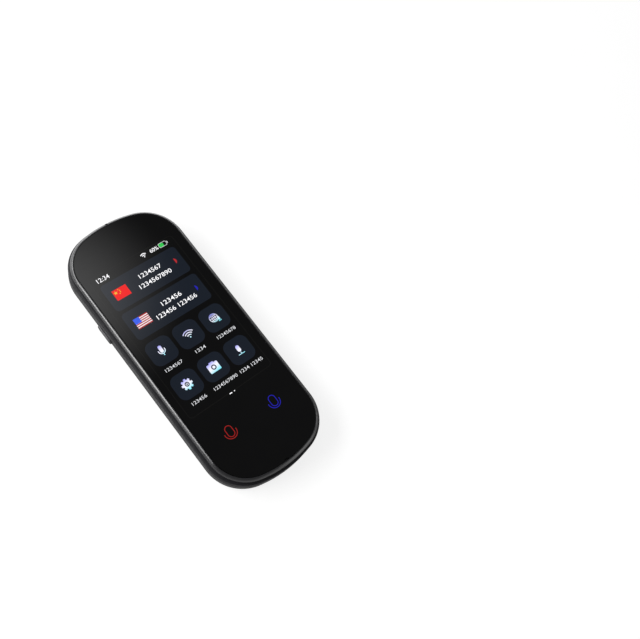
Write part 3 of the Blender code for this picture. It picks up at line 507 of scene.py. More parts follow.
def makeLitFinish(name, settings):
    look = {**plainSign, **settings}
    material = bpy.data.materials.new(name)
    material.use_nodes = True
    tree = material.node_tree
    shader = tree.nodes["Principled BSDF"]
    shader.inputs["Base Color"].default_value = look["base"]
    top = look["color"] + (1,)
    if look["waist"]:
        # three colours, one below the other
        foot, waist = look["foot"] + (1,), look["waist"] + (1,)
        amount = effect(tree, "signFade", Middle=look["middle"], Reach=look["reach"])
        low, high = look["waistSpan"]
        lower = blendColor(tree, span(tree, amount, 0.0, low, smooth=False), foot, waist)
        color = blendColor(tree, span(tree, amount, high, 1.0, smooth=False), lower, top)
    else:
        amount = effect(tree, "handMarks", Scale=look["cloud"], Cover=look["cloudCover"])
        dimmer = tuple(part * look["cloudDip"] for part in look["color"]) + (1,)
        color = blendColor(tree, amount, dimmer, top)
    level = effect(tree, "pixelGrid", Pitch=look["pitch"], Gap=look["gap"])
    tree.links.new(blendColor(tree, 1.0, color, level, "MULTIPLY"), shader.inputs["Emission Color"])
    shader.inputs["Emission Strength"].default_value = look["light"]
    shader.inputs["Specular IOR Level"].default_value = look["gloss"]
    marks = effect(tree, "handMarks", Scale=look["marks"], Cover=look["cover"])
    tree.links.new(span(tree, marks, 0.0, 1.0, *look["rough"]), shader.inputs["Roughness"])
    return material


litFinishes = {
    "litWhite": {"color": (0.97, 0.97, 0.99), "light": 1.25},
    "litLabel": {"color": (0.88, 0.89, 0.92), "light": 0.95},
    "litTile": {"color": (0.0075, 0.0115, 0.0200), "gloss": 0.5},
    "litEdge": {"color": (0.010, 0.0095, 0.0085), "gloss": 0.5},
    "litRed": {"color": (0.93, 0.022, 0.022), "gap": 0.05},
    "litFlagWhite": {"color": (0.93, 0.90, 0.91), "gap": 0.05},
    "litFlagRed": {"color": (0.50, 0.025, 0.030), "gap": 0.05},
    "litFlagBlue": {"color": (0.055, 0.13, 0.86), "gap": 0.05},
    "litYellow": {"color": (0.95, 0.52, 0.05)},
    "litGreen": {"color": (0.045, 0.62, 0.10)},
    "litMarkRed": {"color": (0.36, 0.016, 0.015), "gap": 0.0},
    "litMarkBlue": {"color": (0.020, 0.018, 0.44), "gap": 0.0},
}


def makeMaterials():
    for build in (makeGrainGroup, makeMarksGroup, makeRubGroup, makeDustGroup, makeFadeGroup,
                  makePixelGroup):
        build()
    for name, look in finishes.items():
        makeFinish(name, look)
    for name, look in litFinishes.items():
        makeLitFinish(name, look)


# Modelling helpers, all in edit mode

def fresh(name, add, edit=True, **settings):
    # a new object from one of Blender's add operators, placed and turned in its mesh
    bpy.ops.object.select_all(action="DESELECT")
    add(**settings)
    piece = bpy.context.object
    piece.name = name
    bpy.ops.object.transform_apply(location=True, rotation=True)
    if edit:
        bpy.ops.object.mode_set(mode="EDIT")
    return piece


def begin(name, place):
    # a single point, from which a line can be drawn
    piece = fresh(name, bpy.ops.mesh.primitive_plane_add, size=mm)
    bpy.ops.mesh.select_mode(type="VERT")
    bpy.ops.mesh.merge(type="CENTER")
    bpy.ops.transform.translate(value=place)
    return piece


def push(step):
    bpy.ops.mesh.extrude_region_move(TRANSFORM_OT_translate={"value": step})


def facesOnly():
    bpy.ops.mesh.select_mode(type="FACE")


def allFaces():
    facesOnly()
    bpy.ops.mesh.select_all(action="SELECT")


def thicken(thick):
    # raises the selected faces to a body of that thickness about their own plane
    push((0, 0, thick))
    bpy.ops.mesh.select_all(action="SELECT")
    bpy.ops.transform.translate(value=(0, 0, -thick / 2))


def pick(piece, test):
    # selects the faces that pass the test
    facesOnly()
    bpy.ops.mesh.select_all(action="DESELECT")
    mesh = bmesh.from_edit_mesh(piece.data)
    for face in mesh.faces:
        face.select = test(face)
    mesh.select_flush(True)
    bmesh.update_edit_mesh(piece.data)


def follow(piece, points):
    # carries the selected face through a section of (inset, height) points
    facing = next(f.normal.z for f in bmesh.from_edit_mesh(piece.data).faces if f.select)
    for (inset, height), (nextInset, nextHeight) in zip(points, points[1:]):
        rise = nextHeight - height
        if nextInset - inset < tiny:
            push((0, 0, rise))
        else:
            bpy.ops.mesh.inset(thickness=nextInset - inset, depth=rise * (1 if facing > 0 else -1))


def shapeBetween(piece, below, above, hollow=False):
    # from the outline's face, runs one section down and one up; a hollow piece's caps meet and go
    allFaces()
    follow(piece, below)
    bpy.ops.mesh.select_mode(type="EDGE")
    bpy.ops.mesh.select_all(action="DESELECT")
    bpy.ops.mesh.select_non_manifold(extend=False, use_wire=False, use_boundary=True,
                                     use_multi_face=False, use_non_contiguous=False, use_verts=False)
    bpy.ops.mesh.edge_face_add()
    facesOnly()
    follow(piece, above)
    if hollow:
        pick(piece, lambda face: len(face.verts) > 8)
        bpy.ops.mesh.delete(type="ONLY_FACE")
    closeUp()


def closeUp():
    bpy.ops.mesh.select_all(action="SELECT")
    bpy.ops.mesh.remove_doubles(threshold=tiny)
    bpy.ops.mesh.normals_make_consistent(inside=False)
    bpy.ops.object.mode_set(mode="OBJECT")


def quarter(inset, height, across, rise, steps=8):
    # points of a quarter round that starts upright and ends level; rise is negative downwards
    points = []
    for step in range(steps + 1):
        angle = math.pi / 2 * step / steps
        points.append((inset + across * (1 - math.cos(angle)), height + rise * math.sin(angle)))
    return points


def plate(name, centre, size, corner=0.0, steps=8, lie="z", stroke=0.0):
    # a plate with round corners, its thickness along lie; a stroke leaves only its rim
    piece = fresh(name, bpy.ops.mesh.primitive_plane_add, size=1)
    bpy.ops.mesh.select_mode(type="VERT")
    bpy.ops.transform.resize(value=(size[0], size[1], 1))
    if corner:
        bpy.ops.mesh.bevel(offset=corner, offset_type="OFFSET", segments=steps, affect="VERTICES")
        bpy.ops.mesh.select_all(action="SELECT")
        bpy.ops.mesh.remove_doubles(threshold=tiny)
    allFaces()
    if stroke:
        bpy.ops.mesh.inset(thickness=stroke)
        bpy.ops.mesh.delete(type="ONLY_FACE")
        bpy.ops.mesh.select_all(action="SELECT")
    thicken(size[2])
    if lie != "z":
        bpy.ops.transform.rotate(value=math.pi / 2, orient_axis="Y" if lie == "x" else "X",
                                 center_override=(0, 0, 0))
    bpy.ops.transform.translate(value=centre)
    closeUp()
    return piece


def disc(name, centre, radius, steps, below, above, hollow=False):
    # a turned piece: sections of (inset, height), heights from the centre's own
    piece = fresh(name, bpy.ops.mesh.primitive_circle_add, vertices=steps, radius=radius,
                  fill_type="NGON", location=(centre[0], centre[1], centre[2] + below[0][1]))
    shapeBetween(piece, below, above, hollow)
    return piece


def rodAlong(name, centre, radius, length, lie="z", steps=32):
    turn = {"z": (0, 0, 0), "x": (0, math.pi / 2, 0)}[lie]
    return fresh(name, bpy.ops.mesh.primitive_cylinder_add, edit=False, vertices=steps, radius=radius,
                 depth=length, location=centre, rotation=turn)


def arcStroke(name, centre, radius, start, sweep, width, thick, steps=16):
    # a bent bar: its section is spun round the centre, angles counted from +X
    piece = fresh(name, bpy.ops.mesh.primitive_plane_add, size=1)
    bpy.ops.transform.resize(value=(width, thick, 1))
    bpy.ops.transform.rotate(value=math.pi / 2, orient_axis="X", center_override=(0, 0, 0))
    bpy.ops.transform.translate(value=(radius, 0, 0))
    bpy.ops.mesh.spin(steps=steps, angle=-sweep, center=(0, 0, 0), axis=(0, 0, 1))
    closeUp()
    piece.data.transform(Matrix.Translation(centre) @ Matrix.Rotation(start, 4, "Z"))
    return piece


def fuse(name, pieces):
    # several shapes become one piece
    bpy.ops.object.select_all(action="DESELECT")
    for piece in pieces:
        piece.select_set(True)
    bpy.context.view_layer.objects.active = pieces[0]
    if len(pieces) > 1:
        bpy.ops.object.join()
    pieces[0].name = name
    return pieces[0]


def combine(piece, tools, operation="DIFFERENCE"):
    for tool in tools:
        change = piece.modifiers.new("combine", "BOOLEAN")
        change.operation = operation
        change.solver = "EXACT"
        change.object = tool
        bpy.context.view_layer.objects.active = piece
        bpy.ops.object.modifier_apply(modifier=change.name)
        bpy.data.objects.remove(tool)


def softEdges(piece, width, segments=2, limit=40):
    change = piece.modifiers.new("softEdges", "BEVEL")
    change.width = width
    change.segments = segments
    change.limit_method = "ANGLE"
    change.angle_limit = math.radians(limit)
    bpy.context.view_layer.objects.active = piece
    bpy.ops.object.modifier_apply(modifier=change.name)


def hand(piece, body, finish, nodes=(), smooth=28):
    # a finished piece gets its shading, material and body, and the CAD nodes it stands for are hidden
    bpy.ops.object.select_all(action="DESELECT")
    piece.select_set(True)
    bpy.context.view_layer.objects.active = piece
    bpy.ops.object.shade_smooth_by_angle(angle=math.radians(smooth))
    piece.data.materials.clear()
    piece.data.materials.append(bpy.data.materials[finish])
    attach(piece, body)
    if nodes:
        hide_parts(*nodes)
    return piece


# The body's outline: straight sides, wide arcs at the ends, tighter corners between

outline = {
    "halfWidth": 25.9 * mm, "halfLength": 63.5 * mm,
    "endRadius": 51.1 * mm, "cornerRadius": 17.8 * mm,
    "cornerSteps": 36, "endSteps": 24, "sideSteps": 24, "weld": 0.001 * mm,
}


def drawOutline(name, inset, height):
    cornerX = outline["halfWidth"] - outline["cornerRadius"]
    endY = outline["halfLength"] - outline["endRadius"]
    reach = outline["endRadius"] - outline["cornerRadius"]
    cornerY = endY + math.sqrt(reach ** 2 - cornerX ** 2)
    half = math.asin(cornerX / reach)
    piece = begin(name, (outline["halfWidth"] - inset, -cornerY, height))
    side = 2 * cornerY / outline["sideSteps"]
    for sign in (1, -1):
        for step in range(outline["sideSteps"]):
            push((0, sign * side, 0))
        turns = ((cornerX, cornerY, math.pi / 2 - half, outline["cornerSteps"]),
                 (0, endY, 2 * half, outline["endSteps"]),
                 (-cornerX, cornerY, math.pi / 2 - half, outline["cornerSteps"]))
        for x, y, angle, steps in turns:
            centre = (sign * x, sign * y, height)
            bpy.ops.mesh.spin(steps=steps, angle=-angle, center=centre, axis=(0, 0, 1))
    bpy.ops.mesh.select_all(action="SELECT")
    bpy.ops.mesh.remove_doubles(threshold=outline["weld"])
    bpy.ops.mesh.edge_face_add()
    return piece


# Rear shell

shell = {
    "height": 6.9 * mm, "floor": 1.5 * mm, "wall": 1.6 * mm,
    "curveRise": 4.2 * mm, "curveDepth": 2.9 * mm, "edge": (0.34 * mm, 0.27 * mm),
    "outerSteps": 14, "innerSteps": 10, "slotSteps": 8, "sideCutSteps": 12,
    "support": 0.08 * mm,  # a narrow flat loop keeps the big faces flat
    "over": 1.0 * mm,  # how far cuts run past what they cut
    "cameraX": 12.17 * mm, "cameraY": 45.70 * mm, "recess": 5.5 * mm, "recessDepth": 0.95 * mm,
    "hole": 3.6 * mm, "flashX": 3.17 * mm, "flashRecess": 2.0 * mm, "flashHole": 1.1 * mm,
    "slots": 6, "slotPitch": 2.2 * mm, "slotSize": (1.0 * mm, 9.0 * mm), "slotY": -44.0 * mm,
    "keyY": 23.3 * mm, "keyZ": 4.5 * mm, "keySlot": (3.3 * mm, 9.7 * mm),
    "portSize": (9.54 * mm, 3.8 * mm), "portZ": 3.9 * mm,
}


def makeRearShell():
    s = shell
    piece = drawOutline("rearShell", 0, s["curveRise"])
    below = quarter(0, s["curveRise"], s["curveDepth"], -s["curveRise"], s["outerSteps"])
    below.append((s["curveDepth"] + s["support"], 0))
    top = s["height"]
    across, drop = s["edge"]
    above = [(0, s["curveRise"]), (0, top - drop - s["support"]), (0, top - drop), (across, top),
             (across + s["support"], top), (s["wall"] - s["support"], top),
             (s["wall"], top - s["support"])]
    above += quarter(s["wall"], s["curveRise"], s["curveDepth"] - s["wall"],
                     s["floor"] - s["curveRise"], s["innerSteps"])
    above.append((s["curveDepth"] + s["support"], s["floor"]))
    shapeBetween(piece, below, above)
    over = s["over"]
    rounds = ((s["cameraX"], s["recess"], 0, s["recessDepth"], 96),
              (s["flashX"], s["flashRecess"], 0, s["recessDepth"], 64),
              (s["cameraX"], s["hole"], s["floor"], over, 72),
              (s["flashX"], s["flashHole"], s["floor"], over, 40))
    tools = [rodAlong("tool", (x, s["cameraY"], z), radius, 2 * half, steps=steps)
             for x, radius, z, half, steps in rounds]
    for index in range(s["slots"]):
        x = (index - (s["slots"] - 1) / 2) * s["slotPitch"]
        size = s["slotSize"] + (4 * over,)
        tools.append(plate("tool", (x, s["slotY"], 0), size, s["slotSize"][0] / 2, s["slotSteps"]))
    keySize = s["keySlot"] + (6 * over,)
    tools.append(plate("tool", (-outline["halfWidth"], s["keyY"], s["keyZ"]), keySize,
                       s["keySlot"][0] / 2, s["sideCutSteps"], "x"))
    portSize = s["portSize"] + (12 * over,)
    tools.append(plate("tool", (0, outline["halfLength"], s["portZ"]), portSize,
                       s["portSize"][1] / 2, s["sideCutSteps"], "y"))
    combine(piece, tools)
    hand(piece, "housing", "shellBlack", ["rear_cover"])


# Middle band with the plate that carries the display, and the screw posts under it

band = {
    "low": 7.2 * mm, "top": 9.8 * mm, "edge": 0.15 * mm, "round": 0.12 * mm, "wall": 1.6 * mm,
    "shoulder": (0.95 * mm, 0.42 * mm),  # the top edge slopes: width and drop
    "lipIn": 1.9 * mm, "lipOut": 2.7 * mm, "lipLow": 6.2 * mm, "plateLow": 7.8 * mm, "plateTop": 8.6 * mm,
    "postRadius": 2.0 * mm, "postLow": 7.3 * mm, "bore": 1.0 * mm, "support": 0.08 * mm,
    "windowSize": (5.6 * mm, 3.8 * mm), "windowY": 58.3 * mm,
}


def makeMiddleBand():
    b = band
    low = b["low"] + b["edge"]
    piece = drawOutline("middleBand", 0, low)
    below = [(0, low), (b["edge"], b["low"]), (b["lipIn"], b["low"]), (b["lipIn"], b["lipLow"]),
             (b["lipOut"], b["lipLow"]), (b["lipOut"], b["plateLow"]),
             (b["lipOut"] + b["support"], b["plateLow"])]
    width, drop = b["shoulder"]
    side = b["top"] - drop - b["round"]
    above = [(0, low), (0, low + b["support"]), (0, side), (b["round"] / 2, side + b["round"]),
             (width, b["top"]), (b["wall"], b["top"]), (b["wall"], b["plateTop"]),
              (b["wall"] + b["support"], b["plateTop"])]
    shapeBetween(piece, below, above)
    posts = []
    bores = []
    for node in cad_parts:
        if "_screw_" in node:
            lowest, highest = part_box(node)
            x, y = (lowest[0] + highest[0]) / 2, (lowest[1] + highest[1]) / 2
            middle = (b["postLow"] + b["plateTop"]) / 2
            posts.append(rodAlong("post", (x, y, middle), b["postRadius"],
                                  b["plateTop"] - b["postLow"] - b["support"]))
            bores.append(rodAlong("bore", (x, y, b["postLow"]), b["bore"],
                                  2 * (highest[2] + 2 * b["support"] - b["postLow"])))
    windows = [plate("window", (0, sign * b["windowY"], b["plateTop"]), b["windowSize"] + (2 * mm,))
               for sign in (1, -1)]
    combine(piece, posts, "UNION")
    combine(piece, bores + windows)
    hand(piece, "housing", "bandSatin", ["mid_frame"])


# Gloss rim round the glass

rim = {
    "setback": 0.9 * mm, "low": 10.35 * mm, "edge": 0.12 * mm, "top": 12.1 * mm,
    # the crown's arcs, inwards: radius, and the surface's tilt from level where it starts and ends
    "crown": ((0.42, 90, 46), (5.4, 46, 34), (0.22, 34, 0)),
    "neckIn": 1.9 * mm, "neckOut": 2.6 * mm, "neckLow": 8.9 * mm, "ledgeLow": 9.55 * mm,
    "ledgeTop": 10.15 * mm, "ledgeReach": 4.5 * mm, "inner": 2.36 * mm, "support": 0.04 * mm,
    "holeRadius": 0.55 * mm, "holeY": 61.9 * mm, "slotSize": (1.8 * mm, 1.2 * mm), "slotY": -60.9 * mm,
    "slotCorner": 0.3 * mm, "slotSteps": 6, "holeDepth": 1 * mm, "holeSteps": 40,
}


def crownPoints(inset, top, arcs, steps=8):
    # (inset, height) points of the arcs from the upright side to the level top
    run = [(0.0, 0.0)]
    for radius, first, last in arcs:
        for step in range(1, steps + 1):
            tilt = math.radians(first + (last - first) * step / steps)
            start = math.radians(first + (last - first) * (step - 1) / steps)
            run.append((run[-1][0] + radius * mm * (math.sin(start) - math.sin(tilt)),
                        run[-1][1] + radius * mm * (math.cos(tilt) - math.cos(start))))
    drop = top - run[-1][1]
    return [(inset + across, drop + up) for across, up in run]


def makeFrontRim():
    r = rim
    start = r["low"] + r["edge"]
    piece = drawOutline("frontRim", r["setback"], start)
    below = [(r["setback"], start), (r["setback"] + r["edge"], r["low"]), (r["neckIn"], r["low"]),
             (r["neckIn"], r["neckLow"]), (r["neckOut"], r["neckLow"]), (r["neckOut"], r["ledgeLow"]),
             (r["ledgeReach"], r["ledgeLow"])]
    above = [(r["setback"], start), (r["setback"], start + r["support"])]
    above += crownPoints(r["setback"], r["top"], r["crown"])
    above += [(r["inner"] - r["edge"], r["top"]), (r["inner"], r["top"] - r["edge"]),
              (r["inner"], r["ledgeTop"]),
              (r["ledgeReach"], r["ledgeTop"]), (r["ledgeReach"], r["ledgeLow"])]
    shapeBetween(piece, below, above, hollow=True)
    hole = rodAlong("hole", (0, r["holeY"], r["top"]), r["holeRadius"], 2 * r["holeDepth"],
                    steps=r["holeSteps"])
    combine(piece, [hole])
    hand(piece, "housing", "rimGloss", ["front_bezel"])


# Glass, printed black behind

glass = {
    "inset": 2.46 * mm, "low": 11.05 * mm, "top": 12.25 * mm, "slope": (0.05 * mm, 0.12 * mm),
    "edge": 0.06 * mm, "support": 0.1 * mm,
}


def makeFrontGlass():
    g = glass
    start = g["low"] + g["edge"]
    piece = drawOutline("frontGlass", g["inset"], start)
    below = [(g["inset"], start), (g["inset"] + g["edge"], g["low"]),
             (g["inset"] + g["edge"] + g["support"], g["low"])]
    across, drop = g["slope"]
    above = [(g["inset"], start), (g["inset"], g["top"] - drop), (g["inset"] + across, g["top"]),
             (g["inset"] + across + g["support"], g["top"])]
    shapeBetween(piece, below, above)
    slotSize = rim["slotSize"] + (4 * rim["holeDepth"],)
    slot = plate("slot", (0, rim["slotY"], g["top"]), slotSize, rim["slotCorner"], rim["slotSteps"])
    combine(piece, [slot])
    hand(piece, "housing", "glassBlack", ["cover_glass"])


# Side key: a cap with a flange behind the wall and a short stem

key = {
    "length": 9.2 * mm, "height": 2.8 * mm, "rise": 0.65 * mm, "flangeBack": 2.68 * mm,
    "flangeThick": 0.6 * mm, "flangeLength": 11.2 * mm, "stemRadius": 0.8 * mm, "stemEnd": 3.28 * mm,
    "round": 0.35 * mm, "faceLoop": 0.06 * mm, "facing": 0.9,
    "capSteps": 14, "roundSteps": 5, "flangeSteps": 8,
}


def makeSideKey():
    k = key
    wallX = -outline["halfWidth"]
    y, z = shell["keyY"], shell["keyZ"]
    depth = k["rise"] + k["flangeBack"]
    cap = plate("sideKey", (wallX - k["rise"] + depth / 2, y, z), (k["height"], k["length"], depth),
                k["height"] / 2, k["capSteps"], "x")
    bpy.context.view_layer.objects.active = cap
    bpy.ops.object.mode_set(mode="EDIT")
    pick(cap, lambda face: face.normal.x < -k["facing"])
    bpy.ops.mesh.region_to_loop()
    bpy.ops.mesh.bevel(offset=k["round"], segments=k["roundSteps"], affect="EDGES")
    pick(cap, lambda face: face.normal.x < -k["facing"])
    bpy.ops.mesh.inset(thickness=k["faceLoop"])
    closeUp()
    flange = plate("flange", (wallX + k["flangeBack"] - k["flangeThick"] / 2, y, z),
                   (k["height"], k["flangeLength"], k["flangeThick"]), k["height"] / 2,
                   k["flangeSteps"], "x")
    stemStart = wallX + k["flangeBack"] - k["flangeThick"]
    stemEnd = wallX + k["stemEnd"]
    stem = rodAlong("stem", ((stemStart + stemEnd) / 2, y, z), k["stemRadius"], stemEnd - stemStart, "x")
    combine(cap, [flange, stem], "UNION")
    hand(cap, "key", "keySatin", ["side_key"])


# Charging socket

socket = {
    "width": 8.94 * mm, "height": 3.2 * mm, "depth": 7.4 * mm, "wall": 0.3 * mm, "floor": 0.5 * mm,
    "faceY": 63.15 * mm, "z": 3.9 * mm, "lip": 0.12 * mm,
    "tongueSize": (6.7 * mm, 0.7 * mm, 4.8 * mm), "tongueY": 58.95 * mm, "tongueCorner": 0.2 * mm,
    "tongueEdge": 0.08 * mm, "contacts": 12, "contactPitch": 0.5 * mm,
    "contactSize": (0.26 * mm, 3.4 * mm, 0.03 * mm), "contactCorner": 0.08 * mm, "contactShift": 0.4 * mm,
    "shellSteps": 14, "tongueSteps": 4, "contactSteps": 3,
}


def makeSocket():
    c = socket
    can = plate("socketShell", (0, c["faceY"] - c["depth"] / 2, c["z"]),
                (c["width"], c["height"], c["depth"]), c["height"] / 2, c["shellSteps"], "y")
    bpy.context.view_layer.objects.active = can
    bpy.ops.object.mode_set(mode="EDIT")
    pick(can, lambda face: face.normal.y > key["facing"])
    bpy.ops.mesh.inset(thickness=c["wall"] - c["lip"])
    bpy.ops.mesh.inset(thickness=c["lip"], depth=-c["lip"])
    push((0, c["floor"] - c["depth"] + c["lip"], 0))
    closeUp()
    hand(can, "housing", "steelPressed", ["usb_shell"])
    tongue = plate("socketTongue", (0, c["tongueY"], c["z"]), c["tongueSize"], c["tongueCorner"],
                   c["tongueSteps"], "y")
    softEdges(tongue, c["tongueEdge"])
    hand(tongue, "housing", "epoxyBlack", ["usb_tongue"])
    first = plate("contact", (0, 0, 0), c["contactSize"], c["contactCorner"], c["contactSteps"])
    pads = []
    for side in (1, -1):
        for index in range(c["contacts"]):
            x = (index - (c["contacts"] - 1) / 2) * c["contactPitch"]
            z = c["z"] + side * (c["tongueSize"][1] + c["contactSize"][2]) / 2
            pads.append(copyOf(first, (x, c["tongueY"] + c["contactShift"], z)))
    bpy.data.objects.remove(first)
    hand(fuse("socketContacts", pads), "housing", "goldContact")


def copyOf(piece, place, turn=0.0):
    # a copy with its own mesh, turned and placed in that mesh
    twin = piece.copy()
    twin.data = piece.data.copy()
    bpy.context.collection.objects.link(twin)
    twin.data.transform(Matrix.Translation(place) @ Matrix.Rotation(turn, 4, "Z"))
    return twin


# Camera, flash and speaker in the rear face

rear = {
    "ringOuter": 5.2 * mm, "ringInner": 4.45 * mm, "ringLow": 0.1 * mm, "ringTop": 0.65 * mm,
    "ringEdge": 0.12 * mm, "windowRadius": 4.3 * mm, "windowLow": 0.15 * mm, "windowEdge": 0.1 * mm,
    "flashRadius": 1.7 * mm, "lensLow": 1.8 * mm, "lensTop": 2.8 * mm, "lensOuter": 3.2 * mm,
    "lensSteps": [(0.0, 0.1), (0.1, 0.0), (0.7, 0.0), (0.9, 0.22), (1.3, 0.22), (1.45, 0.42),
                  (1.75, 0.42), (1.9, 0.5), (2.3, 0.46), (2.7, 0.42), (3.0, 0.40)],
    "meshSize": (18.6 * mm, 10.6 * mm), "meshLow": 1.8 * mm, "meshPitch": 0.44 * mm, "wire": 0.16 * mm,
    "ringSteps": 96, "windowSteps": 80, "edgeSteps": 4,
}


def makeRearDetails():
    d = rear
    x, y = shell["cameraX"], shell["cameraY"]
    edge, wall = d["ringEdge"], d["ringOuter"] - d["ringInner"]
    low, top = d["ringLow"], d["ringTop"]
    below = [(0, low + edge), (edge, low), (wall - 2 * edge, low), (wall, low + 2 * edge), (wall, top)]
    above = [(0, low + edge), (0, top), (wall, top)]
    ring = disc("cameraRing", (x, y, 0), d["ringOuter"], d["ringSteps"], below, above, hollow=True)
    hand(ring, "housing", "steelPressed", ["camera_ring"])
    for name, node, placeX, radius, finish, slot in (
            ("cameraWindow", "camera_window", x, d["windowRadius"], "windowClear", "lens"),
            ("flashWindow", "flash_window", shell["flashX"], d["flashRadius"], "milkyPlastic", "milky")):
        edge, low = d["windowEdge"], d["windowLow"]
        below = quarter(0, low + edge, edge, -edge, d["edgeSteps"]) + [(2 * edge, low)]
        above = [(0, low + edge), (0, top), (edge, top)]
        window = disc(name, (placeX, y, 0), radius, d["windowSteps"], below, above)
        hand(window, "housing", finish, [node])
    below = [(inset * mm, d["lensLow"] + rise * mm) for inset, rise in d["lensSteps"]]
    above = [below[0], (0, d["lensTop"]), (d["windowEdge"], d["lensTop"])]
    lens = disc("cameraLens", (x, y, 0), d["lensOuter"], d["windowSteps"], below, above)
    hand(lens, "housing", "lensCoated", ["camera_lens"])
    width, length = d["meshSize"]
    grille = fresh("speakerGrille", bpy.ops.mesh.primitive_grid_add, size=1,
                   x_subdivisions=round(width / d["meshPitch"]),
                   y_subdivisions=round(length / d["meshPitch"]))
    bpy.ops.transform.resize(value=(width, length, 1))
    bpy.ops.transform.translate(value=(0, shell["slotY"], d["meshLow"] + d["wire"] / 2))
    bpy.ops.object.mode_set(mode="OBJECT")
    weave = grille.modifiers.new("weave", "WIREFRAME")
    weave.thickness = d["wire"]
    weave.use_boundary = True
    bpy.ops.object.modifier_apply(modifier=weave.name)
    bpy.ops.object.mode_set(mode="EDIT")
    closeUp()
    hand(grille, "housing", "steelPressed", ["speaker_mesh"])


# Screen signs: thin shapes on the glass. The layout's sizes are in millimetres

screen = {
    "base": 12.254 * mm, "thick": 0.008 * mm, "layer": 0.010 * mm,
    "panelSize": (40.4, 70.3), "panelCentre": (-0.7, 8.65), "panelCorner": 1.6, "panelLine": 0.12,
    "letterSize": 1.38, "letterSteps": 4,  # font size for a digit one high, and steps in its curves
}


def flatPlace(x, y, layer=0):
    return (x * mm, y * mm, screen["base"] + layer * screen["layer"] + screen["thick"] / 2)


def chip(x, y, width, height, corner=0.0, layer=0, stroke=0.0, steps=8):
    # one flat sign shape; a stroke leaves only its rim
    return plate("chip", flatPlace(x, y, layer), (width * mm, height * mm, screen["thick"]),
                 corner * mm, steps, "z", stroke * mm)


def arc(x, y, radius, start, sweep, width, layer=0):
    return arcStroke("arc", flatPlace(x, y, layer), radius * mm, math.radians(start), math.radians(sweep),
                     width * mm, screen["thick"])


def drawShapes(x, y, shapes):
    # a table's chips and arcs about a place; "around" turns copies of one chip about it
    drawn = [chip(x + across, y + up, *rest) for across, up, *rest in shapes.get("chips", ())]
    drawn += [arc(x + across, y + up, *rest) for across, up, *rest in shapes.get("arcs", ())]
    for count, one in shapes.get("around", ()):
        first = chip(*one)
        drawn += [copyOf(first, (x * mm, y * mm, 0), 2 * math.pi * index / count)
                  for index in range(count)]
        bpy.data.objects.remove(first)
    return drawn


def sign(name, shapes, finish, slot="cover_glass"):
    return hand(fuse(name, shapes), "housing", finish)


def digits(name, text, x, y, height, finish, width=0.0, layer=0, bold=0.015):
    # plain numbers, made a mesh before they are placed; a width draws the row out or in
    bpy.ops.object.select_all(action="DESELECT")
    bpy.ops.object.text_add()
    word = bpy.context.object
    word.data.body = text
    word.data.align_x = "CENTER"
    word.data.align_y = "CENTER"
    word.data.resolution_u = screen["letterSteps"]
    word.data.size = height * screen["letterSize"] * mm
    word.data.offset = bold * mm
    word.data.extrude = screen["thick"] / 2
    bpy.ops.object.convert(target="MESH")
    word = bpy.context.object
    across = [vert.co.x for vert in word.data.vertices]
    grow = width * mm / (max(across) - min(across)) if width else 1.0
    word.data.transform(Matrix.Translation(flatPlace(x, y, layer)) @ Matrix.Diagonal((grow, 1, 1, 1)))
    bpy.ops.object.mode_set(mode="EDIT")
    closeUp()
    return sign(name, [word], finish)


# Words are left out: rows of plain numbers stand in their places
numerals = "1234567890"


def numberRow(name, x, y, width, height, groups, finish, layer=0, bold=0.015):
    text = " ".join(numerals[:count] for count in groups)
    return digits(name, text, x, y, height, finish, width, layer, bold)


def raiseSign(x, y, layer):
    # a flat face drawn about the origin becomes a sign shape at its place
    allFaces()
    thicken(screen["thick"])
    bpy.ops.transform.translate(value=flatPlace(x, y, layer))
    closeUp()


def star(x, y, radius, layer, points=5, waist=0.4):
    piece = fresh("star", bpy.ops.mesh.primitive_circle_add, vertices=2 * points, radius=radius * mm,
                  fill_type="NGON")
    bpy.ops.mesh.select_mode(type="VERT")
    mesh = bmesh.from_edit_mesh(piece.data)
    mesh.verts.ensure_lookup_table()
    for vert in mesh.verts:
        vert.select = vert.index % 2 == 1
    mesh.select_flush(False)
    bmesh.update_edit_mesh(piece.data)
    bpy.ops.transform.resize(value=(waist, waist, 1), center_override=(0, 0, 0))
    raiseSign(x, y, layer)
    return piece


def discPart(name, x, y, radius, cut, finish, steps=48):
    # what is left of a disc to the right of the cut, given as a share of the radius
    piece = fresh(name, bpy.ops.mesh.primitive_circle_add, vertices=steps, radius=radius * mm,
                  fill_type="NGON")
    bpy.ops.mesh.bisect(plane_co=(cut * radius * mm, 0, 0), plane_no=(1, 0, 0), clear_inner=True)
    raiseSign(x, y, 1)
    return sign(name, [piece], finish)


# The tables below give chips as x, y, width, height, corner radius, layer, stroke, steps of a corner,
# and arcs as x, y, radius, start, sweep, line, layer

statusBar = {
    "y": 41.7, "clockX": -15.35, "clockDrop": 0.4, "clock": "12:34", "clockHeight": 2.0,
    "percentX": 9.6, "percent": "60%", "percentHeight": 1.75, "wirelessX": 4.5, "batteryX": 14.0,
    "wireless": {"chips": ((0, -0.75, 0.5, 0.5, 0.24),),
                 "arcs": ((0, -0.9, 0.95, 45, 90, 0.36), (0, -0.9, 1.7, 45, 90, 0.36))},
    "battery": {"chips": ((0, 0.2, 3.8, 2.1, 0.6, 0, 0.16), (2.3, 0.2, 0.32, 0.945, 0.12))},
    "charge": {"chips": ((-0.684, 0.2, 2.128, 1.68, 0.4, 1),)},
}


